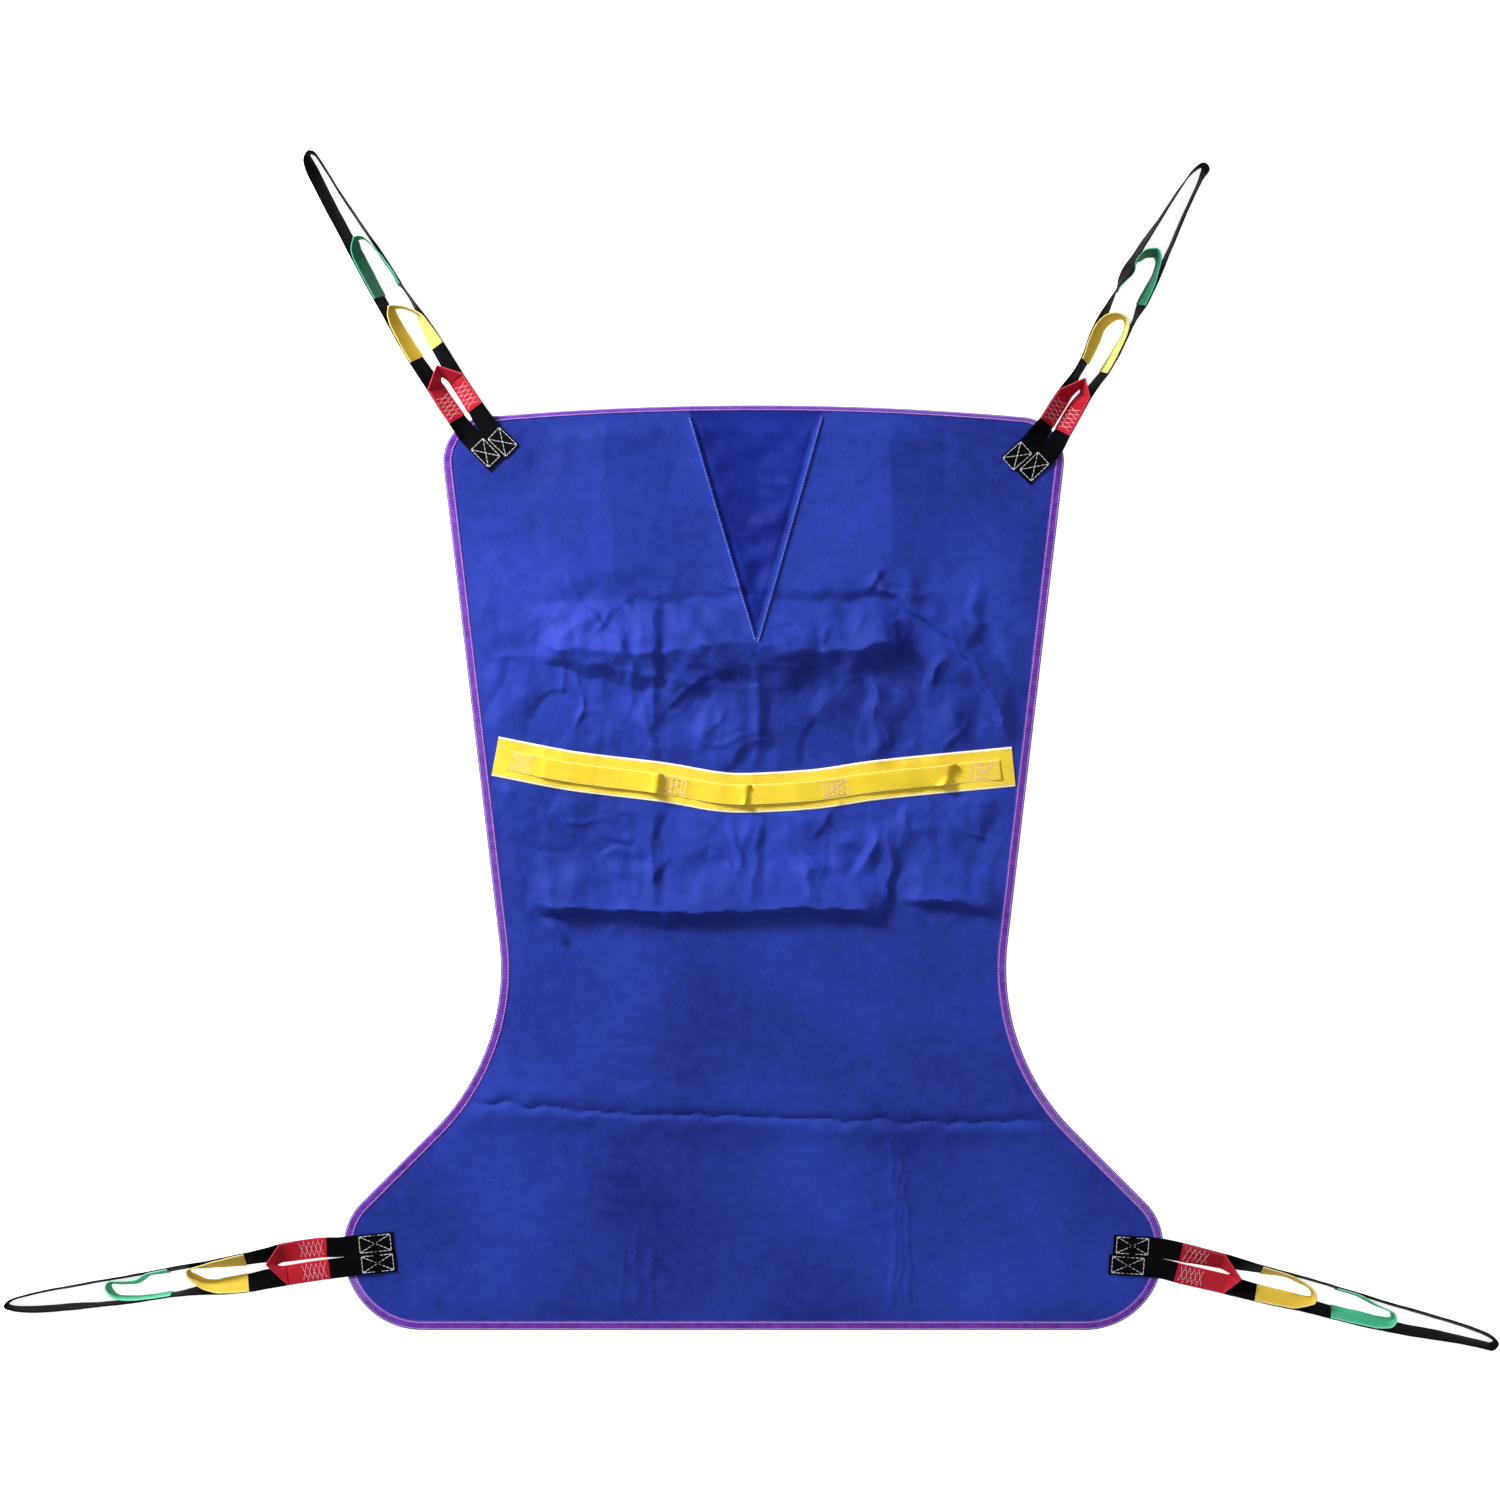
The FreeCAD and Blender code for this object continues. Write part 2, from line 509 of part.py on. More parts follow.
def zigzag_stitching(strap, loop):
    """The zigzag of thread that sews a red loop's two ends down, each run at the height it lies at."""
    low, high = loop["start"] + 5, loop["hinge"] - 3
    marks = [low + (high - low) * i / ZIGZAG_RUNS for i in range(ZIGZAG_RUNS + 1)]
    lift = BLACK_WEB / 2 + SEWN_LIFT + COLOUR_WEB / 2 + 0.05
    runs = []
    for leg in "ab":
        points = []
        for i, u in enumerate(marks):
            side = ZIGZAG_HALF if i % 2 else -ZIGZAG_HALF
            points.append(placed(strap, u, leg_at(strap, leg, u)[0] + side))
        for start, end, u in zip(points, points[1:], marks):
            runs.append(thread([start, end], base_at(strap, u - 2) + lift))
    return Part.makeCompound(runs)


def anchor_end(strap, leg):
    """A strap's sewn end on the fabric, with its raw edge turned under."""
    low = strap["leg_a"][0][0] if leg == "a" else strap["leg_b"][-1][0]
    thickness = ANCHOR_TOP - CLOTH_TOP
    high = strap_hinge(strap) - GAP / 2
    stations = leg_stations(strap, leg, low, high, base=CLOTH_TOP, thickness=thickness)
    return band(stations, WEB_WIDTH, thickness)


def strap_nodes():
    nodes = {}
    for name, strap in STRAPS.items():
        nodes[name + "_anchor"] = Part.makeCompound([anchor_end(strap, leg) for leg in "ab"])
        nodes[name + "_anchor_stitching"] = Part.makeCompound([cross_box(strap, leg) for leg in "ab"])
        nodes[name + "_webbing"] = free_strap(strap)
        for colour in ("red", "yellow", "green"):
            nodes[f"{name}_{colour}_ends"] = loop_ends(strap, strap[colour])
        nodes[name + "_red_stitching"] = zigzag_stitching(strap, strap["red"])
        nodes[name + "_red_loop"] = folded_loop(strap, strap["red"])
        for colour in ("yellow", "green"):
            nodes[f"{name}_{colour}_loop"] = free_loop(strap, strap[colour])
    return nodes


def main():
    os.makedirs("parts", exist_ok=True)
    nodes = {**body_nodes(), **handle_nodes(), **strap_nodes()}
    whole = FreeCAD.BoundBox()
    for name, shape in nodes.items():
        for solid in shape.Solids:
            if not solid.isValid() or solid.Volume <= 0:
                print("not a good solid:", name, solid.Volume)
        whole.add(shape.BoundBox)
        shape.exportStep(f"parts/{name}.step")
    print(len(nodes), "nodes, box", whole)


main()
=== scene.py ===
"""A full-body patient-lift sling, laid out flat with its handles up. Millimetres until a mesh is made."""
import math

import bmesh
import bpy
import numpy as np
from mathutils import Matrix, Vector
from mathutils.kdtree import KDTree


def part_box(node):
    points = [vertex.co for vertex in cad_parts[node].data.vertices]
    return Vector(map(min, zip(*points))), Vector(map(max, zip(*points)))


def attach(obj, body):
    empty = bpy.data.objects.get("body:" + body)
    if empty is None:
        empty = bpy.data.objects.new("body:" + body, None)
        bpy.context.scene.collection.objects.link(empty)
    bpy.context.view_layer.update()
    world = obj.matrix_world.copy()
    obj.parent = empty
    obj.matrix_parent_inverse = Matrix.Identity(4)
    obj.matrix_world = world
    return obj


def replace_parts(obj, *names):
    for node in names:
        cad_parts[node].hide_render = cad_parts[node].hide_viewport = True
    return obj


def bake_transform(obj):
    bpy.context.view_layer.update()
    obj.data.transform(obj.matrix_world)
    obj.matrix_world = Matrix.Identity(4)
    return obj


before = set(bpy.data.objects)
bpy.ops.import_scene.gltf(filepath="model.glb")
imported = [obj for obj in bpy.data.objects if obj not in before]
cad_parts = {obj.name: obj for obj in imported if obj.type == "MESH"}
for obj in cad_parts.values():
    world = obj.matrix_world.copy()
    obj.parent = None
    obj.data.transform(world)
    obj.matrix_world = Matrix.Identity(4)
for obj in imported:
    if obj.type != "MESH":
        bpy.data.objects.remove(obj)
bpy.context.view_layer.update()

MM = 0.001
UP = np.array([0.0, 0.0, 1.0])


def box_mm(node):
    """(lowest corner, highest corner) of a CAD node, in millimetres."""
    low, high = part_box(node)
    return np.array(low) / MM, np.array(high) / MM


# ---- cloth, tape and webbing --------------------------------------------------------------
CLOTH = 1.0
TAPE_WIDTH = 11.5
HEAD_ROLL = 0.42
WEB_WIDTH = 25.0
BLACK_WEB = 1.8
COLOUR_WEB = 1.6
BACKING = 1.3
BACKING_WIDTH = 50.0
CLOTH_BOTTOM = 0.6
CLOTH_TOP = CLOTH_BOTTOM + CLOTH
BINDING_TOP = box_mm("leg_binding")[1][2]
ANCHOR_BASE = BINDING_TOP + 0.2       # the straps run level with the binding's top where they cross it
ON_CLOTH = CLOTH_TOP + 0.1
SEWN_LIFT = (BLACK_WEB + COLOUR_WEB) / 2
FREE_LIFT = SEWN_LIFT + 0.5
CELL = 2.5                            # the fabric's mesh is as fine as this
STEP = 3.0                            # webbing is shaped at about this spacing

# ---- outline of the body ------------------------------------------------------------------
HEAD_Y = box_mm("head_binding")[1][1]
HIP_X = box_mm("leg_binding")[1][0]
FOOT_Y = box_mm("leg_binding")[0][1]
HEAD_CORNER = (395.0, HEAD_Y - 17.0)
WAIST_CORNER = (302.0, -378.5)
HIP_CORNER = (HIP_X, -589.5)
FOOT_CORNER = (HIP_X, FOOT_Y)
CORNER_RADII = (56.0, 285.0, 76.0, 98.0)      # head, waist, hip and foot
FABRIC_INSET = 3.0                    # the fabric ends this far in, inside the binding
SPLIT_Y = -32.0                       # the fabric is two meshes that meet here, under the handles

# ---- gusset -------------------------------------------------------------------------------
GUSSET_APEX = (4.0, 136.0)
GUSSET_HALF_TOP = 90.5
GUSSET_TOP_X = 2.5
SEAM_WIDTH = 5.0
SEAM_HEIGHT = 1.9
SEAM_DRAW = 3.2                       # how far the seams draw the fabric up
SEAM_GROOVE = 1.8                     # and how deep a groove runs beside them
TACK_HEIGHT = 0.9
TACK_BARS = 6
# A seam's section: (share of its width, share of its height). The last two points are its underside.
SEAM_SECTION = [(0, 0), (0.06, 0.55), (0.2, 0.9), (0.5, 1.0), (0.8, 0.86), (0.94, 0.5), (1, 0), (1.1, -0.74),
                (-0.5, -0.74)]

# ---- handles ------------------------------------------------------------------------------
BACKING_LINE = [(-323, -9), (-223, -28), (-117, -41), (-17, -55), (67, -51), (154, -39), (325, -22)]
HANDLE_LANDS = [(-307, -273), (-118, -79), (82, 123), (266, 308)]
HANDLE_SHIFT = -2.0
BACKING_STITCH = 3.2                  # from the backing's edge to its row of stitches
LAND_STITCH = 3.5
LAND_RUNGS = (0.2, 0.4, 0.6, 0.8)
# Half of the backing's section: (share of its half width, share of its thickness).
BACKING_SECTION = [(-1, 0.3), (-0.985, 0.8), (-0.95, 1.0), (-0.85, 0.96), (-0.6, 1), (-0.3, 1), (0, 1),
                   (0.3, 1), (0.6, 1), (0.85, 0.96), (0.95, 1.0), (0.985, 0.8), (1, 0.3)]
BACKING_UNDERSIDE = -0.1
HANDLE_SPLITS = [-195, -98, 24, 102, 195]     # middles of loops and lands, in turn
# The handle webbing: (x, height over the backing, tilt of its upper edge, skew of the fold).
HANDLE_WEB = [
    (-307, 0, 0, 0), (-290, 0, 0, 0), (-273, 0, 0, 0), (-262, 0.6, 0, 0), (-238, 1.8, 3, 0),
    (-205, 2.6, 2, 0), (-172, 2.8, 0, 0), (-145, 3.0, 0, 0), (-130, 3.8, 0, 4), (-126, 6.2, 0, 4),
    (-122, 7.6, 0, 4), (-118, 6.0, 0, 4), (-117, 3.0, 0, 4), (-115, 0.6, 0, 2), (-111, 0, 0, 0),
    (-98, 0, 0, 0), (-79, 0, 0, 0), (-68, 0.9, 0, 0), (-45, 2.2, 0, 0), (-26, 3.0, 0, -10),
    (-16, 4.6, 0, -20), (-11, 6.4, 0, -22), (-8, 5.4, 0, -22), (-6, 2.8, 0, -22), (0, 1.8, 0, -16),
    (24, 3.0, 0, 0), (48, 3.0, 0, 0), (68, 1.2, 0, 0), (82, 0, 0, 0), (102, 0, 0, 0), (123, 0, 0, 0),
    (135, 0.8, 2, 0), (155, 2.0, 5, 0), (178, 2.6, 9, -6), (205, 2.8, 12, -16), (226, 3.0, 12, -30),
    (236, 4.2, 9, -40), (242, 5.4, 4, -44), (246, 3.6, 1, -42), (250, 1.2, 0, -36), (258, 0.2, 0, -14),
    (266, 0, 0, 0), (286, 0, 0, 0), (308, 0, 0, 0),
]

# ---- straps -------------------------------------------------------------------------------
# Each point is (along, across, tilt). Along and across are from the middle of the strap's sewn ends, and
# tilt is 0 where the webbing lies flat and 90 where it stands on its edge, outer edge up. Leg_a is the half
# of the doubled webbing on the left of the strap's heading and leg_b the half on its right.
STRAPS = {
    "shoulder_left": {
        "origin": (-311, 364), "heading": 123.0, "box": (3, 33),
        "leg_a": [(-2, 12.7, 0), (20, 17.0, 0), (45, 21.8, 8), (56, 23.2, 18), (72, 24.3, 30),
                  (105, 25.2, 36), (144, 25.6, 42), (162, 26.2, 46), (186, 26.0, 50), (210, 25.0, 56),
                  (250, 22.8, 58), (290, 19.6, 56), (332, 15.8, 57), (388, 10.8, 57), (428, 6.4, 56),
                  (444, 3.4, 68)],
        "tip": (451.5, -3, 90),
        "leg_b": [(444, -8.6, 86), (420, -8.2, 86), (383, -7.4, 85), (330, -8.4, 84), (285, -10.0, 84),
                  (262, -9.6, 84), (256, -8.6, 80), (245, -9.2, 86), (215, -9.6, 78), (192, -8.2, 62),
                  (168, -6.4, 48), (144, -5.2, 42), (105, -3.8, 36), (72, -3.6, 30), (56, -3.6, 18),
                  (45, -3.4, 8), (20, -8.1, 0), (1, -12.4, 0)],
        "red": {"start": 72, "hinge": 108, "corners": (122, 116), "apex": (141, 8)},
        "yellow": {"start": 162, "hinge": 186, "follows": (210, 201),
                   "arch": [(226, 20, 66), (233.5, 16.6, 80), (229, 8, 88), (219, -1, 88), (211, -6, 86)]},
        "green": {"start": 252, "hinge": 276, "follows": (306, 290),
                  "arch": [(321, 12.4, 68), (329.5, 7, 84), (327, 0, 89), (318, -4.4, 90), (304, -6.4, 90)]},
    },
    "shoulder_right": {
        "origin": (326, 347), "heading": 58.9, "box": (3, 33),
        "leg_a": [(4, 11.4, 0), (20, 6.4, 0), (45, -0.4, 8), (56, -1.6, 18), (72, -2.6, 37),
                  (105, -3.0, 41), (130, -3.4, 56), (146, -3.6, 66), (165, -3.0, 64), (191, 0.6, 54),
                  (215, 4.4, 62), (240, 6.6, 76), (256, 7.6, 86), (266, 8.2, 94), (274, 8.6, 108),
                  (288, 8.8, 119), (308, 9.4, 107), (334, 8.8, 103), (370, 7.0, 95), (405, 6.0, 93),
                  (428, 4.0, 88), (441, 0.6, 86)],
        "tip": (447.5, -4.4, 84),
        "leg_b": [(444, -9.8, 72), (428, -11.2, 84), (405, -13.4, 86), (373, -17.4, 85), (336, -22.6, 84),
                  (302, -26.4, 76), (262, -28.8, 66), (236, -30.6, 84), (212, -31.8, 78),
                  (188, -32.8, 72), (165, -32.6, 69), (146, -30.4, 67), (125, -27.4, 56),
                  (105, -26.0, 41), (72, -26.4, 37), (56, -26.4, 18), (45, -25.4, 8), (20, -18.8, 0),
                  (-1, -13.7, 0)],
        "red": {"start": 72, "hinge": 108, "corners": (116, 126), "apex": (143, -15)},
        "yellow": {"start": 162, "hinge": 186, "follows": (204, 206),
                   "arch": [(221, -1.6, 62), (231, -9.6, 76), (234, -18, 86), (229, -25.4, 84),
                            (218, -28.8, 80)]},
        "green": {"start": 258, "hinge": 276, "follows": (290, 288),
                  "arch": [(306, 3.6, 80), (318, -1.6, 72), (323.5, -9.5, 70), (318, -17.6, 80),
                           (304, -22.2, 80)]},
    },
    "leg_left": {
        "origin": (-448, -628), "heading": 187.4, "box": (4, 43),
        "leg_a": [(0, 12.7, 0), (24, 12.2, 0), (52, 11.2, 0), (86, 11.2, 0), (125, 12.0, 6),
                  (164, 13.4, 22), (185, 15.0, 32), (207, 15.2, 42), (228, 15.4, 58), (250, 15.6, 74),
                  (283, 16.6, 86), (342, 18.0, 87), (375, 16.8, 86), (405, 15.4, 80), (437, 13.8, 80),
                  (462, 11.6, 82), (479, 8.0, 86)],
        "tip": (488.5, 3, 88),
        "leg_b": [(483, -1.8, 85), (466, -5.6, 82), (434, -8.6, 81), (402, -10.2, 80), (370, -11.8, 80),
                  (340, -13.0, 80), (307, -14.2, 78), (279, -15.2, 74), (250, -16.2, 73),
                  (228, -16.2, 68), (206, -15.8, 58), (185, -15.8, 49), (161, -16.6, 40),
                  (133, -17.0, 14), (92, -16.8, 0), (66, -14.2, 0), (52, -13.9, 0), (24, -12.9, 0),
                  (0, -12.4, 0)],
        "red": {"start": 84, "hinge": 120, "corners": (138, 142), "apex": (161, -6)},
        "yellow": {"start": 186, "hinge": 210, "follows": (222, 222),
                   "arch": [(238, 9.5, 66), (249, 1.5, 74), (257.5, -6.6, 84), (258, -11.2, 86),
                            (252, -12.8, 84), (241, -12.8, 76)]},
        "green": {"start": 282, "hinge": 306, "follows": (312, 306),
                  "arch": [(334, 14, 85), (348, 11.4, 86), (356.5, 4.5, 84), (359.5, -4, 80),
                           (355, -8.4, 76), (342, -6.4, 74), (326, -5.2, 74)]},
    },
    "leg_right": {
        "origin": (447, -632), "heading": -13.2, "box": (4, 43),
        "leg_a": [(0, 12.7, 0), (24, 16.6, 0), (52, 21.4, 0), (71, 22.8, 6), (107, 24.4, 29),
                  (145, 25.4, 43), (166, 25.8, 54), (184, 26.4, 62), (207, 27.4, 72), (232, 28.2, 79),
                  (258, 27.0, 80), (282, 25.4, 80), (307, 24.2, 80), (330, 22.2, 80), (356, 20.6, 79),
                  (389, 19.0, 78), (421, 17.2, 78), (454, 14.6, 78), (476, 11.4, 79)],
        "tip": (491, 3.6, 87),
        "leg_b": [(485, -2.6, 76), (468, -2.6, 76), (443, -2.8, 74), (411, -4.4, 68), (380, -6.2, 66),
                  (350, -7.0, 62), (316, -6.8, 57), (284, -6.2, 57), (258, -5.4, 55), (235, -4.8, 48),
                  (207, -4.8, 41), (184, -4.4, 36), (160, -3.6, 26), (143, -3.2, 6), (96, -3.4, 0),
                  (70, -2.6, 0), (52, -3.8, 0), (24, -8.5, 0), (0, -12.4, 0)],
        "red": {"start": 84, "hinge": 120, "corners": (137, 147), "apex": (163, 9)},
        "yellow": {"start": 186, "hinge": 210, "follows": (216, 232),
                   "arch": [(237, 21.4, 78), (250, 17.2, 84), (257, 9.8, 84), (256, 3.0, 76),
                            (246, -0.4, 64)]},
        "green": {"start": 282, "hinge": 306, "follows": (312, 340),
                  "arch": [(323, 18.4, 80), (335, 15.2, 82), (348, 13, 84), (357.5, 10.4, 85),
                           (360.5, 4, 82), (355.5, -2.4, 68)]},
    },
}
CLIMB_START = 8.0          # a strap climbs from the fabric onto the binding from here
CLIMB_LENGTH = 16.0
DROP_START = 38.0          # and comes down on the floor this far past its sewn boxes
DROP_LENGTH = 28.0
ROOF_BULGE = 7.0           # how far the opening of a red loop reaches out past its legs' corners
ROOF_RISE = 3.0            # how far the folded tip of a red loop bows up
STITCH_INSET = 2.4         # from the webbing's edge to the box sewn on a strap's end
ZIGZAG_REACH = 9.5         # how far a red loop's zigzag goes to each side
ZIGZAG_MARKS = 6

# ---- creases of the fabric ----------------------------------------------------------------
# (form, height, reach to the left of the line, reach to its right, points). A tent falls straight off on both
# sides of its crest, a ridge has a soft foot, and a valley is a sharp line between two swells.
CREASES = [
    ("tent", 8, 90, 95, [(-190, 470), (-182, 330), (-168, 190)]),
    ("tent", 10, 70, 190, [(168, 470), (170, 330), (176, 180)]),
    ("valley", 4.5, 16, 9, [(-500, -440), (-351, -444), (-137, -455), (42, -462), (169, -466),
                            (368, -465), (520, -462)]),
    ("tent", 19, 66, 15, [(-285, -193), (-242, -196), (-174, -200), (-101, -206), (-33, -203),
                          (53, -199), (127, -202), (172, -209)]),
    ("tent", 12, 44, 12, [(176, -186), (224, -188), (262, -194), (322, -203)]),
    ("tent", 6, 9, 9, [(-266, -214), (-226, -246)]),
    ("lens", 24, 60, 48, [(-272, 124), (-205, 123), (-132, 121), (-60, 130), (0, 131), (30, 127),
                          (102, 126), (146, 129), (196, 140)]),
    ("ridge", 4.4, 12, 12, [(-215, 110), (-150, 94), (-82, 82), (3, 77), (102, 86), (150, 99),
                            (180, 128)]),
    ("tent", 1.9, 30, 13, [(-203, 160), (-173, 181), (-137, 196), (20, 198), (164, 196), (192, 180)]),
    ("tent", 10, 30, 7, [(166, 200), (184, 186), (246, 139), (287, 84), (322, 6)]),
    ("tent", 6, 12, 26, [(-123, 200), (-125, 90), (-122, 0)]),
    ("tent", 6, 12, 28, [(-122, -70), (-126, -140), (-121, -204)]),
    ("tent", 5, 22, 12, [(4, 126), (6, 60), (3, -30)]),
    ("tent", 6, 12, 24, [(4, -80), (2, -140), (-4, -205)]),
    ("tent", 7, 24, 12, [(150, 100), (152, 40), (157, -20)]),
    ("tent", 8, 18, 10, [(161, -92), (146, -128), (124, -168)]),
    ("tent", 6, 10, 14, [(163, -90), (172, -140), (164, -205)]),
    ("tent", 4.5, 8, 10, [(-35, -84), (-22, -116), (-5, -152)]),
    ("tent", 4.5, 8, 9, [(78, -88), (104, -106), (140, -132)]),
    ("ridge", 5, 7, 9, [(-232, 14), (-214, 54), (-221, 108)]),
    ("ridge", 4, 8, 8, [(120, 134), (150, 182)]),
    ("ridge", 4, 7, 9, [(215, 60), (238, 122)]),
    ("ridge", 3, 6, 8, [(-335, 118), (-300, 116), (-262, 124)]),
    ("ridge", 2.2, 5, 5, [(173, -470), (176, -590), (174, -712)]),
    ("ridge", 1.8, 4, 4, [(181, -480), (184, -600), (183, -708)]),
    ("ridge", 2.0, 4, 4, [(189, -520), (193, -620), (191, -716)]),
    ("ridge", 1.6, 4, 4, [(-165, -600), (-163, -660), (-166, -716)]),
    ("ridge", 1.4, 4, 4, [(-146, -590), (-148, -650), (-145, -712)]),
    ("ridge", 1.6, 4, 4, [(-128, -610), (-126, -670), (-128, -710)]),
    ("ridge", 4.5, 10, 8, [(-470, -658), (-420, -667), (-380, -710)]),
]
CREASE_STEP = 8.0
CREASE_FADE = 34.0         # a crease dies away over this much of its length at each end
FADE_SHARE = 0.45          # or over this share of it, on a short one
CREASE_MARGIN = 4          # and is left out further off than this many times its reach
LENS_CLOSED = 4.0          # a lens is this wide at its two ends
LENS_FULLNESS = 0.6
TENT_CURVE = 1.15
RIDGE_FALL = 1.4

# Short sharp creases strewn over the part behind the back.
CRUMPLES = 120
CRUMPLE_SEED = 77
CRUMPLE_FIELD = (290, 215)
CRUMPLE_HEADINGS = [0, math.pi / 2, math.pi / 4, -math.pi / 4]
CRUMPLE_TURN = 0.3
CRUMPLE_LENGTH = (30, 110)
CRUMPLE_BEND = 6
CRUMPLE_REACH = (4, 21)
CRUMPLE_HEIGHT = (1.2, 4.2)

# ---- unevenness of the fabric -------------------------------------------------------------
# Each is (wavelength, height, seed).
SAG = (260, 1.3, 3)
BACK_SWELLS = [(105, 1.7, 5), (46, 0.5, 8)]
FINE_SWELL = (60, 0.16, 11)
STRAY_X = (38, 1.5, 31)    # how far a crease's line strays from its points
STRAY_Y = (44, 1.7, 33)
GUSSET_TUCKS = [(34, 1.7, 17), (17, 0.5, 19)]
STANDS_OFF = 2.2           # how far the fabric stands off the floor, on the whole
BACK_MIDDLE = 5.0          # the crumpled stretch behind the back
BACK_REACH = 190.0

# Each is (distance at which the unevenness starts to grow, over how much it grows, share left before that).
CALM_AT_EDGE = (6, 34, 0.12)
CALM_AT_BACKING = (22, 22, 0.35)
CALM_AT_ANCHOR = (52, 40, 0)
ANCHOR_MIDDLE = 24.0


# ---- curves -------------------------------------------------------------------------------
def ease(share):
    """0 up to 0, 1 from 1 on, and a smooth step between them."""
    share = np.clip(share, 0.0, 1.0)
    return share * share * (3 - 2 * share)


def smooth(points, step):
    """Points about step apart on a curve through points that doesn't overshoot.

    Each point is its (x, y), then any other values that are to be smoothed with them.
    """
    gaps = [max(math.dist(a[:2], b[:2]), 1e-6) for a, b in zip(points, points[1:])]
    rates = [[(q - p) / gap for p, q in zip(a, b)] for a, b, gap in zip(points, points[1:], gaps)]

    def slope(before, after):
        return 0.0 if before * after <= 0 else 2 * before * after / (before + after)
    inner = [[slope(p, q) for p, q in zip(a, b)] for a, b in zip(rates, rates[1:])]
    slopes = [rates[0]] + inner + [rates[-1]]
    curve = []
    for start, end, gap, leave, arrive in zip(points, points[1:], gaps, slopes, slopes[1:]):
        count = max(1, round(gap / step))
        for t in (j / count for j in range(count)):
            weights = (2*t**3 - 3*t**2 + 1, 3*t**2 - 2*t**3, (t**3 - 2*t**2 + t) * gap, (t**3 - t**2) * gap)
            curve.append([sum(w * value for w, value in zip(weights, values))
                          for values in zip(start, end, leave, arrive)])
    return np.array(curve + [list(points[-1])], float)


def unit(vectors):
    return vectors / np.maximum(np.linalg.norm(vectors, axis=-1, keepdims=True), 1e-12)


def lengths(points):
    """The distance along a line to each of its points."""
    return np.concatenate([[0], np.cumsum(np.linalg.norm(np.diff(points, axis=0), axis=1))])


def swell(x, y, wavelength, height, seed, waves=14):
    """A smooth random surface of about that wavelength and height."""
    draw = np.random.default_rng(seed)
    total = np.zeros_like(np.asarray(x, float))
    for _ in range(waves):
        heading = draw.uniform(0, 2 * math.pi)
        phase = draw.uniform(0, 2 * math.pi)
        stretch = draw.uniform(0.7, 1.5)
        run = x * math.cos(heading) + y * math.sin(heading)
        total += np.sin(run * 2 * math.pi / (wavelength * stretch) + phase)
    return total * height / math.sqrt(waves / 2)


def outline(step=2.0):
    """The body's outer edge as a closed ring of points, from the middle of the head end, clockwise."""
    half = [HEAD_CORNER, WAIST_CORNER, HIP_CORNER, FOOT_CORNER]
    corners = [np.array(c) for c in half] + [np.array((-x, y)) for x, y in reversed(half)]
    radii = CORNER_RADII + CORNER_RADII[::-1]
    crown = np.array((0.0, HEAD_Y))
    ring = [crown] + corners + [crown]
    bends = []
    for before, corner, after, radius in zip(ring, corners, ring[2:], radii):
        back, on = unit(before - corner), unit(after - corner)
        opening = math.acos(float(back @ on)) / 2
        reach = radius / math.tan(opening)
        centre = corner + unit(back + on) * radius / math.sin(opening)
        start, end = corner + back * reach, corner + on * reach
        first = math.atan2(*(start - centre)[::-1])
        turn = (math.atan2(*(end - centre)[::-1]) - first + math.pi) % (2 * math.pi) - math.pi
        count = max(2, round(abs(turn) * radius / step))
        angles = [first + turn * i / count for i in range(count + 1)]
        bends.append([centre + radius * np.array((math.cos(a), math.sin(a))) for a in angles])
    points = bow(crown, bends[0][0], step)[:-1]
    for bend, following in zip(bends, bends[1:] + [None]):
        points += bend
        if following is not None:
            count = max(1, round(math.dist(bend[-1], following[0]) / step))
            points += [bend[-1] + (following[0] - bend[-1]) * i / count for i in range(1, count)]
    points += bow(crown, bends[-1][-1], step)[::-1][1:-1]
    return np.array(points)


def bow(crown, corner, step):
    """The head end's shallow arc from its crown out to a corner."""
    drop = crown[1] - corner[1]
    radius = (corner[0] ** 2 + drop ** 2) / (2 * drop)
    count = round(abs(corner[0]) / step)
    return [np.array((x, crown[1] - radius + math.sqrt(radius ** 2 - x ** 2)))
            for x in (corner[0] * i / count for i in range(count + 1))]


EDGE = outline()
EDGE_NORMAL = unit(np.roll(EDGE, 1, axis=0) - np.roll(EDGE, -1, axis=0))[:, ::-1] * (1, -1)
EDGE_NORMAL *= np.sign(((EDGE.mean(axis=0) - EDGE) * EDGE_NORMAL).sum(axis=1).mean())


def inset(distance):
    """The outline, that far in from the edge."""
    return EDGE + EDGE_NORMAL * distance


def tree_of(points):
    """A search tree of flat points."""
    tree = KDTree(len(points))
    for i, (x, y) in enumerate(points):
        tree.insert((x, y, 0), i)
    tree.balance()
    return tree


EDGE_TREE = tree_of(EDGE)


def edge_distance(x, y):
    """How far points are from the body's outer edge."""
    flat = [EDGE_TREE.find((a, b, 0))[2] for a, b in zip(np.ravel(x), np.ravel(y))]
    return np.reshape(flat, np.shape(x))


def inside(ring, x, y):
    """Whether points lie inside a closed ring."""
    hit = np.zeros(np.shape(x), bool)
    for (x0, y0), (x1, y1) in zip(ring, np.roll(ring, -1, axis=0)):
        if y0 != y1:
            hit ^= ((y0 > y) != (y1 > y)) & (x < (x1 - x0) * (y - y0) / (y1 - y0) + x0)
    return hit


# ---- the lie of the fabric ----------------------------------------------------------------
def crease_height(crease, x, y):
    """One crease's height over points that are given as flat lists."""
    form, height, left, right, points = crease
    line = smooth(points, CREASE_STEP)
    margin = CREASE_MARGIN * max(left, right)
    low, high = line.min(axis=0) - margin, line.max(axis=0) + margin
    near = (x > low[0]) & (x < high[0]) & (y > low[1]) & (y < high[1])
    total = np.zeros(np.shape(x))
    if near.any():
        total[near] = height * crease_shape(form, left, right, line, x[near], y[near])
    return total


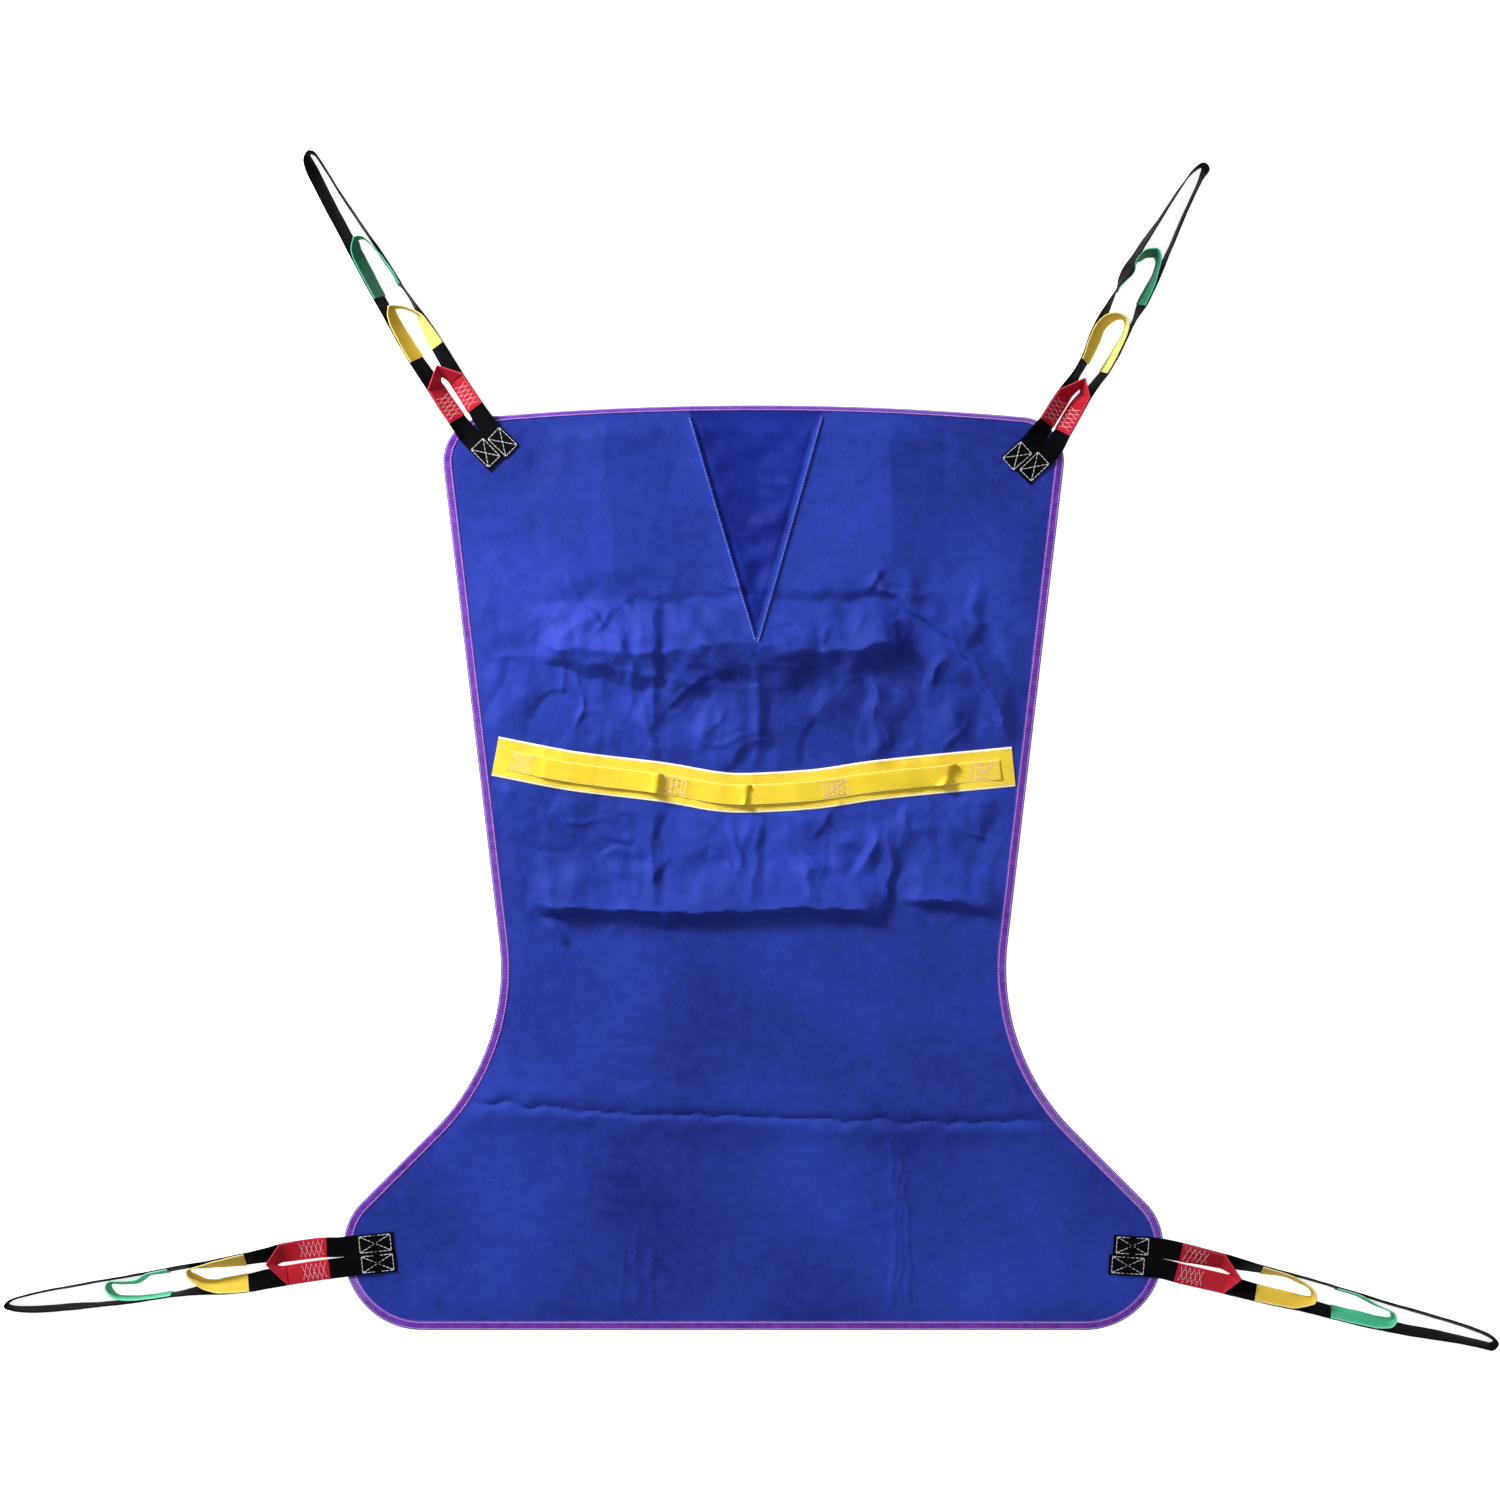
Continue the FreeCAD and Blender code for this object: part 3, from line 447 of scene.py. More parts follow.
def crease_shape(form, left, right, line, x, y):
    """A crease's height at points near its line, as a share of its full height."""
    run = lengths(line)
    best = np.full(np.shape(x), np.inf)
    side, along = np.zeros(np.shape(x)), np.zeros(np.shape(x))
    for (x0, y0), (x1, y1), base in zip(line, line[1:], run):
        dx, dy = x1 - x0, y1 - y0
        length = math.hypot(dx, dy)
        t = np.clip(((x - x0) * dx + (y - y0) * dy) / length ** 2, 0, 1)
        away = np.hypot(x - x0 - t * dx, y - y0 - t * dy)
        nearer = away < best
        best = np.where(nearer, away, best)
        side = np.where(nearer, dx * (y - y0) - dy * (x - x0), side)
        along = np.where(nearer, base + t * length, along)
    if form == "lens":
        right = LENS_CLOSED + right * np.sin(np.pi * along / run[-1]) ** LENS_FULLNESS
    share = best / np.where(side > 0, left, right)
    falling = np.maximum(0, 1 - share)
    shape = {"tent": falling ** TENT_CURVE, "lens": falling, "ridge": np.exp(-share * RIDGE_FALL),
             "valley": share * np.exp(1 - share)}[form]
    fade_length = min(CREASE_FADE, run[-1] * FADE_SHARE)
    return shape * ease(along / fade_length) * ease((run[-1] - along) / fade_length)


def crumples():
    """Short creases at random, mostly up and down or across, behind the back."""
    draw = np.random.default_rng(CRUMPLE_SEED)
    made = []
    for _ in range(CRUMPLES):
        middle = np.array([draw.uniform(-reach, reach) for reach in CRUMPLE_FIELD])
        heading = draw.choice(CRUMPLE_HEADINGS) + draw.normal(0, CRUMPLE_TURN)
        length = draw.uniform(*CRUMPLE_LENGTH)
        bend = draw.normal(0, CRUMPLE_BEND)
        run = np.array((math.cos(heading), math.sin(heading)))
        side = np.array((-run[1], run[0]))
        points = [tuple(middle + run * length * t + side * bend * (1 - 4 * t * t)) for t in (-0.5, 0, 0.5)]
        left, right = draw.uniform(*CRUMPLE_REACH, 2)
        made.append(("tent", draw.uniform(*CRUMPLE_HEIGHT), left, right, points))
    return made


def gusset_height(x, y):
    """The gusset's small tucks, and the fabric drawn up along its two seams, with a groove inside them."""
    above = y - GUSSET_APEX[1]
    reach = np.minimum(off_seam(x, y, -1), off_seam(x, y, 1))
    within = ease(reach / 22) * ease((above - 10) / 60)
    broad, fine = GUSSET_TUCKS
    tucks = within * (swell(x * 0.3, y, *broad) + swell(x * 0.45, y + x * 0.2, *fine))
    beside = np.minimum(np.abs(off_seam(x, y, -1)), np.abs(off_seam(x, y, 1)))
    drawn = SEAM_DRAW * np.exp(-beside / 9) - SEAM_GROOVE * np.exp(-((reach - 4) / 3) ** 2)
    return tucks + drawn * ease((above + 25) / 30)


def crinkle(x, y):
    """A crumpled surface: smooth swells folded over where they cross zero, which leaves sharp lines."""
    return (2.0 * np.abs(swell(x, y, 130, 1, 41)) - 1.1 * np.abs(swell(x, y * 0.6, 80, 1, 43))
            + 0.5 * np.abs(swell(x * 1.3, y * 0.6, 46, 1, 47)) - 0.2 * np.abs(swell(x, y, 24, 1, 49)))


def off_seam(x, y, side):
    """How far a point is from one of the gusset's seams, more than 0 towards the gusset's middle."""
    run = unit(np.subtract(gusset_top(side), GUSSET_APEX))
    return (-(x - GUSSET_APEX[0]) * side * run[1] + (y - GUSSET_APEX[1]) * side * run[0])


def calm(distance, start, length, kept):
    """The share of its unevenness that the fabric keeps at that distance from something flat."""
    return kept + (1 - kept) * ease((distance - start) / length)


CRUMPLE_LINES = crumples()


def cloth_height(x, y):
    """How far the fabric stands off where it would lie flat."""
    x, y = np.atleast_1d(np.asarray(x, float)), np.atleast_1d(np.asarray(y, float))
    behind = np.exp(-((y - BACK_MIDDLE) / BACK_REACH) ** 4)
    broad, fine = (swell(x, y, *waves) for waves in BACK_SWELLS)
    total = STANDS_OFF + swell(x, y, *SAG) + behind * (broad + fine)
    total = total + swell(x, y, *FINE_SWELL) + gusset_height(x, y) + behind * crinkle(x, y)
    bent_x = (x + swell(x, y, *STRAY_X)).ravel()
    bent_y = (y + swell(x, y, *STRAY_Y)).ravel()
    for crease in CREASES + CRUMPLE_LINES:
        total = total + crease_height(crease, bent_x, bent_y).reshape(x.shape)
    at_anchors = np.ones(x.shape)
    for strap in STRAPS.values():
        anchor_x, anchor_y = placed(strap, ANCHOR_MIDDLE, 0)
        at_anchors = at_anchors * calm(np.hypot(x - anchor_x, y - anchor_y), *CALM_AT_ANCHOR)
    total = total * calm(edge_distance(x, y), *CALM_AT_EDGE) * at_anchors
    line = smooth(BACKING_LINE, 20)
    off_backing = np.abs(y - np.interp(x, line[:, 0], line[:, 1]))
    return np.maximum(total * calm(off_backing, *CALM_AT_BACKING), 0)


def on_cloth(line, rise=0.0):
    """A flat line of points laid on the fabric's top, or that much above it."""
    z = cloth_height(line[:, 0], line[:, 1]) + CLOTH_TOP + rise
    return np.column_stack([line, z])


# ---- meshes -------------------------------------------------------------------------------
def make_mesh(name, points, faces, uvs, finish, sharp=50.0):
    """A piece from points in millimetres, faces, and a (u, v) in millimetres for each point."""
    mesh = bpy.data.meshes.new(name)
    mesh.from_pydata((np.asarray(points) * MM).tolist(), [], [tuple(int(i) for i in f) for f in faces])
    mesh.validate()
    layer = mesh.uv_layers.new(name="weave")
    corner_points = np.zeros(len(mesh.loops), np.int32)
    mesh.loops.foreach_get("vertex_index", corner_points)
    layer.data.foreach_set("uv", (np.asarray(uvs, float)[corner_points] * MM).ravel())
    work = bmesh.new()
    work.from_mesh(mesh)
    bmesh.ops.recalc_face_normals(work, faces=work.faces)
    work.to_mesh(mesh)
    work.free()
    mesh.polygons.foreach_set("use_smooth", [True] * len(mesh.polygons))
    mesh.set_sharp_from_angle(angle=math.radians(sharp))
    mesh.materials.append(finish)
    piece = bpy.data.objects.new(name, mesh)
    bpy.context.scene.collection.objects.link(piece)
    return piece


def sweep(name, rings, uvs, finish, whole_ends=False, sharp=50.0):
    """A piece through closed rings of points, all with the same count.

    Each end is a strip of quads, which suits a section that doubles back on itself, or one whole face.
    """
    count, around = len(rings), len(rings[0])
    last = (count - 1) * around
    faces = []
    for base in range(0, last, around):
        for j in range(around):
            k = (j + 1) % around
            faces.append((base + j, base + k, base + around + k, base + around + j))
    for first in (0, last):
        if whole_ends:
            faces.append(tuple(range(first, first + around)))
        else:
            faces += [(first + j, first + j + 1, first + around - 2 - j, first + around - 1 - j)
                      for j in range(around // 2 - 1)]
    return make_mesh(name, np.reshape(rings, (-1, 3)), faces, np.reshape(uvs, (-1, 2)), finish, sharp)


# Half of a webbing's section: (share of the half width, share of the half thickness).
WEB_SECTION = [(-1, 0.25), (-0.99, 0.62), (-0.965, 0.9), (-0.92, 1), (-0.6, 1), (-0.2, 1), (0.2, 1), (0.6, 1),
               (0.92, 1), (0.965, 0.9), (0.99, 0.62), (1, 0.25)]
# A stitch's section: (share of the half thickness, share of how far it stands proud), and how full it is
# along its length, from -0.5 to 0.5.
STITCH_SECTION = [(-1, 0.0), (-0.8, 0.62), (0, 1.0), (0.8, 0.62), (1, 0.0), (0, -0.5)]
STITCH_STAGES = [(-0.5, 0.25), (-0.36, 0.85), (0, 1.0), (0.36, 0.85), (0.5, 0.25)]
STITCH_PROUD = 0.42


def webbing(name, centres, across, width, thickness, finish, start=0.0, lean=None):
    """Webbing whose middle follows centres, and whose width runs along the unit vectors across.

    Lean shifts the outer edge that much further along than the middle, for each unit of its distance out.
    """
    lean = np.zeros(len(centres)) if lean is None else lean
    along = unit(np.gradient(centres, axis=0))
    across = unit(across - along * (across * along).sum(axis=1, keepdims=True))
    face = np.cross(along, across)
    section = [(s * width / 2, h * thickness / 2) for s, h in WEB_SECTION]
    section += [(s, -h) for s, h in reversed(section)]
    run = lengths(centres) + start
    flutter = 0.12 * np.sin(run / 9.0 + start) + 0.08 * np.sin(run / 4.1 + 1.0 + start)
    rings, uvs = [], []
    for centre, side, up, on, shift, u, wave in zip(centres, across, face, along, lean, run, flutter):
        side = side + on * shift
        rings.append([centre + side * s + up * (h + wave * abs(s) * 2 / width) for s, h in section])
        uvs.append([(u, s) for s, _ in section])
    return sweep(name, rings, uvs, finish)


def level(points):
    """A thread through those points, as (points, normals), on a level face."""
    return points, np.tile(UP, (len(points), 1))


def stitch_mesh(name, threads, finish, long=2.7, gap=0.9, thick=0.75, seed=1):
    """Rows of stitches. Each thread is (points, normals) along which it is sewn."""
    draw = np.random.default_rng(seed)
    around = len(STITCH_SECTION)
    points, faces, uvs = [], [], []
    for line, normals in threads:
        run = lengths(line)
        count = max(1, int(round(run[-1] / (long + gap))))
        pitch = run[-1] / count
        for spot in (np.arange(count) + 0.5) * pitch:
            here, ahead, behind = (np.array([np.interp(s, run, line[:, k]) for k in range(3)])
                                   for s in (spot, min(spot + 0.6, run[-1]), max(spot - 0.6, 0)))
            up = unit(np.array([np.interp(spot, run, normals[:, k]) for k in range(3)]))
            along = unit(ahead - behind)
            along = unit(along + np.cross(up, along) * draw.normal(0, 0.07))
            side = np.cross(up, along)
            size = (pitch - gap) * draw.uniform(0.94, 1.06)
            first = len(points)
            for stage, scale in STITCH_STAGES:
                for s, h in STITCH_SECTION:
                    across = side * s * scale * thick / 2
                    points.append(here + along * stage * size + across + up * h * scale * STITCH_PROUD)
                    uvs.append((spot + stage * size, s))
            last = first + (len(STITCH_STAGES) - 1) * around
            for base in range(first, last, around):
                for j in range(around):
                    k = (j + 1) % around
                    faces.append((base + j, base + k, base + around + k, base + around + j))
            for base in (first, last):
                faces.append((base, base + 1, base + 4, base + 5))
                faces.append((base + 1, base + 2, base + 3, base + 4))
    return make_mesh(name, points, faces, uvs, finish, sharp=180.0)


# ---- materials ----------------------------------------------------------------------------
class Nodes:
    """Small helpers to wire one procedural material."""

    def __init__(self, name, roughness, sheen=0.0, specular=0.4, slot=None):
        self.material = bpy.data.materials.new(name)
        self.material["slot"] = slot or name
        self.material.use_nodes = True
        self.tree = self.material.node_tree
        self.shader = self.tree.nodes["Principled BSDF"]
        self.shader.inputs["Roughness"].default_value = roughness
        self.shader.inputs["Specular IOR Level"].default_value = specular
        self.shader.inputs["Sheen Weight"].default_value = sheen
        self.shader.inputs["Sheen Roughness"].default_value = 0.45
        split = self.add("ShaderNodeSeparateXYZ")
        uv = self.add("ShaderNodeUVMap")
        uv.uv_map = "weave"
        self.place = uv.outputs["UV"]
        self.link(self.place, split.inputs[0])
        self.u, self.v = split.outputs[0], split.outputs[1]

    def add(self, kind):
        return self.tree.nodes.new(kind)

    def link(self, output, target):
        self.tree.links.new(output, target)

    def sum(self, operation, a, b=0.0, c=0.0):
        """A math node on numbers or other nodes' values."""
        node = self.add("ShaderNodeMath")
        node.operation = operation
        for value, target in zip((a, b, c), node.inputs):
            if isinstance(value, (int, float)):
                target.default_value = value
            else:
                self.link(value, target)
        return node.outputs[0]

    def wave(self, value, pitch):
        """A sine of a length in metres that repeats every pitch millimetres."""
        return self.sum("SINE", self.sum("MULTIPLY_ADD", value, 2 * math.pi / (pitch * MM), 0.0))

    def noise(self, size, detail=3.0, stretch=(1, 1, 1)):
        """Noise whose features are about size millimetres."""
        mapping = self.add("ShaderNodeMapping")
        mapping.inputs["Scale"].default_value = stretch
        self.link(self.place, mapping.inputs["Vector"])
        node = self.add("ShaderNodeTexNoise")
        node.inputs["Scale"].default_value = 1 / (size * MM)
        node.inputs["Detail"].default_value = detail
        self.link(mapping.outputs[0], node.inputs["Vector"])
        return node.outputs["Fac"]

    def spread(self, value, low, high, to_low=0.0, to_high=1.0):
        """A value from low to high, spread over to_low to to_high."""
        node = self.add("ShaderNodeMapRange")
        for given, name in zip((low, high, to_low, to_high), ("From Min", "From Max", "To Min", "To Max")):
            node.inputs[name].default_value = given
        self.link(value, node.inputs["Value"])
        return node.outputs[0]

    def mix(self, factor, a, b):
        """Colour a where factor is 0 and b where it is 1."""
        node = self.add("ShaderNodeMix")
        node.data_type = "RGBA"
        self.link(factor, node.inputs[0])
        for colour, target in ((a, node.inputs[6]), (b, node.inputs[7])):
            if isinstance(colour, tuple):
                target.default_value = (*colour, 1)
            else:
                self.link(colour, target)
        return node.outputs[2]

    def finish(self, colour, height, distance, roughness=None):
        """The material, with a relief of that many millimetres."""
        bump = self.add("ShaderNodeBump")
        bump.inputs["Strength"].default_value = 1.0
        bump.inputs["Distance"].default_value = distance * MM
        self.link(height, bump.inputs["Height"])
        self.link(bump.outputs[0], self.shader.inputs["Normal"])
        self.link(colour, self.shader.inputs["Base Color"])
        if roughness is not None:
            self.link(roughness, self.shader.inputs["Roughness"])
        return self.material


def shade(red, green, blue):
    """A colour given as it looks on a screen, 0 to 255, made linear."""
    return tuple(((c / 255 + 0.055) / 1.055) ** 2.4 if c > 10 else c / 255 / 12.92
                 for c in (red, green, blue))


def cloth_material(name, dark, light, slot=None):
    """Tightly woven polyester, a little uneven, with faint scuffs."""
    n = Nodes(name, 0.5, specular=0.08, slot=slot)
    warp, weft = n.wave(n.u, 0.9), n.wave(n.v, 0.8)
    twill = n.wave(n.sum("ADD", n.u, n.v), 1.3)
    weave = n.sum("MULTIPLY_ADD", n.sum("MULTIPLY", warp, weft), 0.5, n.sum("MULTIPLY", twill, 0.35))
    cloud, mottle, fleck = n.noise(260, 2), n.noise(16, 4), n.noise(3.2, 3, (1, 0.45, 1))
    tone = n.sum("MULTIPLY_ADD", fleck, 0.14, n.sum("MULTIPLY", cloud, 0.8))
    tone = n.sum("MULTIPLY_ADD", mottle, 0.3, tone)
    colour = n.mix(n.spread(tone, 0.42, 0.82), dark, light)
    scuff = n.spread(n.noise(34, 6, (0.35, 1.6, 1)), 0.70, 0.80)
    colour = n.mix(n.sum("MULTIPLY", scuff, 0.12), colour, shade(120, 135, 220))
    height = n.sum("MULTIPLY_ADD", mottle, 0.9, n.sum("MULTIPLY", fleck, 0.4))
    height = n.sum("MULTIPLY_ADD", weave, 0.3, height)
    return n.finish(colour, height, 0.32, n.spread(mottle, 0.3, 0.7, 0.42, 0.58))


def tape_material():
    """Grosgrain binding tape: ribs across it, and a slight gleam."""
    n = Nodes("purple_tape", 0.45, sheen=0.05)
    rib = n.wave(n.u, 1.1)
    patch = n.noise(9, 3)
    colour = n.mix(n.spread(patch, 0.3, 0.7), shade(78, 28, 140), shade(124, 52, 182))
    height = n.sum("MULTIPLY_ADD", rib, 0.45, n.sum("MULTIPLY", patch, 1.2))
    return n.finish(colour, height, 0.35, n.spread(patch, 0.3, 0.7, 0.38, 0.55))


RIB = 1.15                 # pitch of the ribs across a webbing
COLUMN = 1.9               # pitch of the cords along it


def webbing_material(name, dark, light, edge, edge_from=WEB_WIDTH / 2 - 1.6, slot=None, specular=0.2,
                     paler_end=None):
    """Woven polyester webbing: cords along it, ribs across it, and its own colour of selvedge.

    Its last argument gives a paler colour, the distance along where the webbing starts to turn to it, and
    where it is fully that colour.
    """
    n = Nodes(name, 0.65, specular=specular, slot=slot)
    columns = n.sum("DIVIDE", n.v, COLUMN * MM)
    cord = n.sum("ABSOLUTE", n.sum("SINE", n.sum("MULTIPLY", columns, math.pi)))
    odd = n.sum("MULTIPLY", n.sum("FLOOR", columns), math.pi)
    ribs = n.sum("SINE", n.sum("MULTIPLY_ADD", n.u, 2 * math.pi / (RIB * MM), odd))
    patch, fuzz = n.noise(22, 3, (0.5, 1, 1)), n.noise(1.6, 2)
    tone = n.sum("MULTIPLY_ADD", patch, 0.6, n.sum("MULTIPLY", fuzz, 0.3))
    tone = n.sum("MULTIPLY_ADD", cord, 0.35, tone)
    colour = n.mix(n.spread(tone, 0.35, 0.95), dark, light)
    if paler_end:
        colour = n.mix(n.spread(n.u, paler_end[1] * MM, paler_end[2] * MM), colour, paler_end[0])
    selvedge = n.spread(n.sum("ABSOLUTE", n.v), edge_from * MM, (edge_from + 0.9) * MM)
    colour = n.mix(selvedge, colour, edge)
    height = n.sum("MULTIPLY_ADD", ribs, 0.35, n.sum("MULTIPLY", fuzz, 0.5))
    height = n.sum("MULTIPLY_ADD", cord, 0.6, height)
    return n.finish(colour, height, 0.42, n.spread(patch, 0.3, 0.7, 0.48, 0.64))


def thread_material(name, dark, light, slot=None):
    """Twisted sewing thread."""
    n = Nodes(name, 0.5, sheen=0.1, slot=slot)
    twist = n.wave(n.sum("MULTIPLY_ADD", n.v, 0.4, n.u), 0.8)
    colour = n.mix(n.spread(twist, -1, 1), dark, light)
    return n.finish(colour, twist, 0.12)


def floor_material():
    """A plain pale studio floor that glows a little, so that it stays white in a render."""
    n = Nodes("floor", 0.85, specular=0.2)
    n.shader.inputs["Base Color"].default_value = (0.93, 0.93, 0.93, 1)
    n.shader.inputs["Emission Color"].default_value = (1, 1, 1, 1)
    n.shader.inputs["Emission Strength"].default_value = 0.75
    return n.material


BLUE = cloth_material("blue_cloth", shade(23, 37, 116), shade(44, 63, 168))
# The gusset is the same blue cloth; this darker copy is painted shade for the shade that falls inside the
# gusset.
SHADED_GUSSET_BLUE = cloth_material("gusset_shaded_blue_cloth", shade(9, 20, 94), shade(22, 39, 138), slot="blue_cloth")
PURPLE = tape_material()
BLACK = webbing_material("black_webbing", shade(1, 1, 3), shade(6, 6, 10), shade(5, 5, 8), specular=0.04)
RED = webbing_material("red_webbing", shade(150, 6, 26), shade(196, 20, 46), shade(206, 48, 72))
YELLOW = webbing_material("yellow_webbing", shade(190, 148, 22), shade(222, 186, 48), shade(232, 216, 120),
                          paler_end=(shade(206, 204, 112), 76, 90))
LIGHT_YELLOW = webbing_material("light_yellow_webbing", shade(206, 166, 40), shade(234, 202, 74),
                                shade(240, 226, 140), slot="yellow_webbing")
GREEN = webbing_material("green_webbing", shade(4, 78, 52), shade(16, 122, 84), shade(70, 176, 134))
PALE_GREEN = webbing_material("pale_green_webbing", shade(40, 158, 114), shade(84, 206, 160),
                              shade(140, 228, 194), slot="green_webbing")
HANDLE = webbing_material("handle_webbing", shade(236, 196, 30), shade(250, 220, 60), shade(252, 232, 120))
BACKING_WEB = webbing_material("handle_backing_webbing", shade(238, 200, 38), shade(250, 222, 72),
                               shade(255, 250, 214), edge_from=BACKING_WIDTH / 2 - 2.8, slot="handle_webbing")
WHITE = thread_material("white_thread", shade(214, 216, 222), shade(250, 250, 252))
LILAC = thread_material("lilac_thread", shade(190, 172, 232), shade(236, 226, 252))
SEAM_THREAD = thread_material("seam_thread", shade(84, 108, 206), shade(150, 168, 240), slot="lilac_thread")
PINK = thread_material("pink_thread", shade(246, 196, 212), shade(255, 238, 244))
CREAM = thread_material("cream_thread", shade(250, 222, 140), shade(255, 240, 190), slot="white_thread")


# ---- body ---------------------------------------------------------------------------------
def gusset_top(side):
    """A top corner of the gusset's triangle, carried a little past the head end."""
    return (GUSSET_TOP_X + side * GUSSET_HALF_TOP, HEAD_Y + 20)


def fabric():
    """The fabric as three meshes on one grid: below the handles, above them, and the gusset."""
    reach = math.ceil(HIP_X / CELL)
    columns = np.arange(-reach, reach + 1) * CELL
    below, above = math.floor((FOOT_Y - SPLIT_Y) / CELL), math.ceil((HEAD_Y - SPLIT_Y) / CELL)
    rows = SPLIT_Y + np.arange(below, above + 1) * CELL
    x, y = np.meshgrid(columns, rows)
    middle_x, middle_y = x[:-1, :-1] + CELL / 2, y[:-1, :-1] + CELL / 2
    rim = inset(FABRIC_INSET)
    used = inside(rim, middle_x, middle_y)
    gusset = inside(np.array([GUSSET_APEX, gusset_top(1), gusset_top(-1)]), middle_x, middle_y)
    part = np.where(gusset, 2, np.where(middle_y > SPLIT_Y, 1, 0))
    around = np.pad(used, 1).astype(int)
    touching = around[:-1, :-1] + around[1:, :-1] + around[:-1, 1:] + around[1:, 1:]
    rim_tree = tree_of(rim)
    for i, j in zip(*np.nonzero((touching > 0) & (touching < 4))):
        x[i, j], y[i, j] = rim[rim_tree.find((x[i, j], y[i, j], 0))[1]]
    height = cloth_height(x, y)
    number = np.arange(x.size).reshape(x.shape)
    pieces = []
    for index, name in enumerate(("fabric_lower", "fabric_upper", "gusset_cloth")):
        cells = np.argwhere(used & (part == index))
        quads = np.array([[number[i, j], number[i, j + 1], number[i + 1, j + 1], number[i + 1, j]]
                          for i, j in cells])
        kept, quads = np.unique(quads, return_inverse=True)
        quads = quads.reshape(-1, 4)
        top = np.stack([x.ravel()[kept], y.ravel()[kept], height.ravel()[kept] + CLOTH_TOP], axis=1)
        # the gusset's cells take the darker copy of the cloth, painted shade for the shade inside the gusset
        pieces.append(make_mesh(name, *thick_sheet(top, quads), SHADED_GUSSET_BLUE if index == 2 else BLUE))
    return pieces


def thick_sheet(top, quads):
    """Points, faces and place on the cloth of a sheet with that top face and the cloth's thickness."""
    count = len(top)
    sides = [(a, b) for quad in quads.tolist() for a, b in zip(quad, quad[1:] + quad[:1])]
    known = set(sides)
    rim = [(a, b) for a, b in sides if (b, a) not in known]
    faces = [tuple(q) for q in quads] + [tuple(q[::-1] + count) for q in quads]
    faces += [(b, a, a + count, b + count) for a, b in rim]
    return np.concatenate([top, top - UP * CLOTH]), faces, np.concatenate([top, top])[:, :2]


def edge_halves(distance, height):
    """The line that far in from the edge and that high, as (the part above the handles, the part below).

    The tape rolls under along the head end, so less of its width shows there.
    """
    shown = 1 - HEAD_ROLL * ease((EDGE[:, 1] - HEAD_Y + 45) / 35)
    ring = EDGE + EDGE_NORMAL * (distance * shown)[:, None]
    right = [i for i in range(len(ring)) if ring[i, 0] > 0 and abs(ring[i, 1] - SPLIT_Y) < 200]
    start = min(right, key=lambda i: abs(ring[i, 1] - SPLIT_Y))
    ring = np.roll(ring, -start, axis=0)
    left = min((i for i in range(len(ring)) if ring[i, 0] < 0), key=lambda i: abs(ring[i, 1] - SPLIT_Y))
    lower, upper = ring[:left + 1], np.concatenate([ring[left:], ring[:1]])
    return [np.column_stack([line, height + cloth_height(line[:, 0], line[:, 1])])
            for line in (upper, lower)]


# The binding's section, folded over the edge: (distance in from the edge, height).
BINDING_SECTION = [(11.5, 1.75), (11.2, 2.2), (10.4, 2.35), (9.4, 2.2), (8.0, 2.3), (5.0, 2.42), (2.8, 2.32),
                   (1.8, 2.15), (0.9, 2.1), (0.2, 1.6), (0.0, 1.1), (0.2, 0.5), (0.9, 0.06), (2.8, 0.0),
                   (8.0, 0.0), (11.2, 0.05), (11.5, 0.45), (11.0, 0.58), (1.6, 0.58), (1.6, 1.66),
                   (11.0, 1.66)]
BINDING_MIDDLE = 6.0
BINDING_ROWS = (1.9, 9.5)             # its two rows of stitches, in from the edge


def binding():
    """The edge binding, a little puckered, above and below the handles."""
    pieces = []
    lines = [edge_halves(distance, height) for distance, height in BINDING_SECTION]
    for half, name in enumerate(("binding_upper", "binding_lower")):
        middle = edge_halves(BINDING_MIDDLE, 0.0)[half]
        run = lengths(middle)
        pucker = 0.14 * np.sin(run / 2.9) * np.sin(run / 37.0)
        rings = []
        for halves, (_, height) in zip(lines, BINDING_SECTION):
            z = middle[:, 2] + height + pucker * (height > 1)
            rings.append(np.column_stack([halves[half][:, :2], z]))
        rings = np.stack(rings, axis=1)[::2]
        uvs = [[(u, distance) for distance, _ in BINDING_SECTION] for u in run[::2]]
        pieces.append(sweep(name, rings, uvs, PURPLE, whole_ends=True, sharp=70.0))
    return pieces


def binding_stitches():
    """Two rows of stitching round the binding, above and below the handles."""
    pieces = []
    rows = [edge_halves(distance, BINDING_TOP) for distance in BINDING_ROWS]
    for half, name in enumerate(("binding_stitches_upper", "binding_stitches_lower")):
        threads = [level(row[half]) for row in rows]
        pieces.append(stitch_mesh(name, threads, LILAC, thick=0.95, seed=20 + half))
    return pieces


def seam_line(side, offset):
    """A line up one side of the gusset, that far out from it."""
    apex, top = np.array(GUSSET_APEX), np.array(gusset_top(side))
    run = unit(top - apex)
    out = np.array((side * abs(run[1]), -side * run[0]))
    end = apex + run * (HEAD_Y - TAPE_WIDTH - 3 - apex[1]) / run[1]
    count = round(math.dist(apex, end) / CELL)
    return np.array([apex + (end - apex) * i / count for i in range(count + 1)]) + out * offset


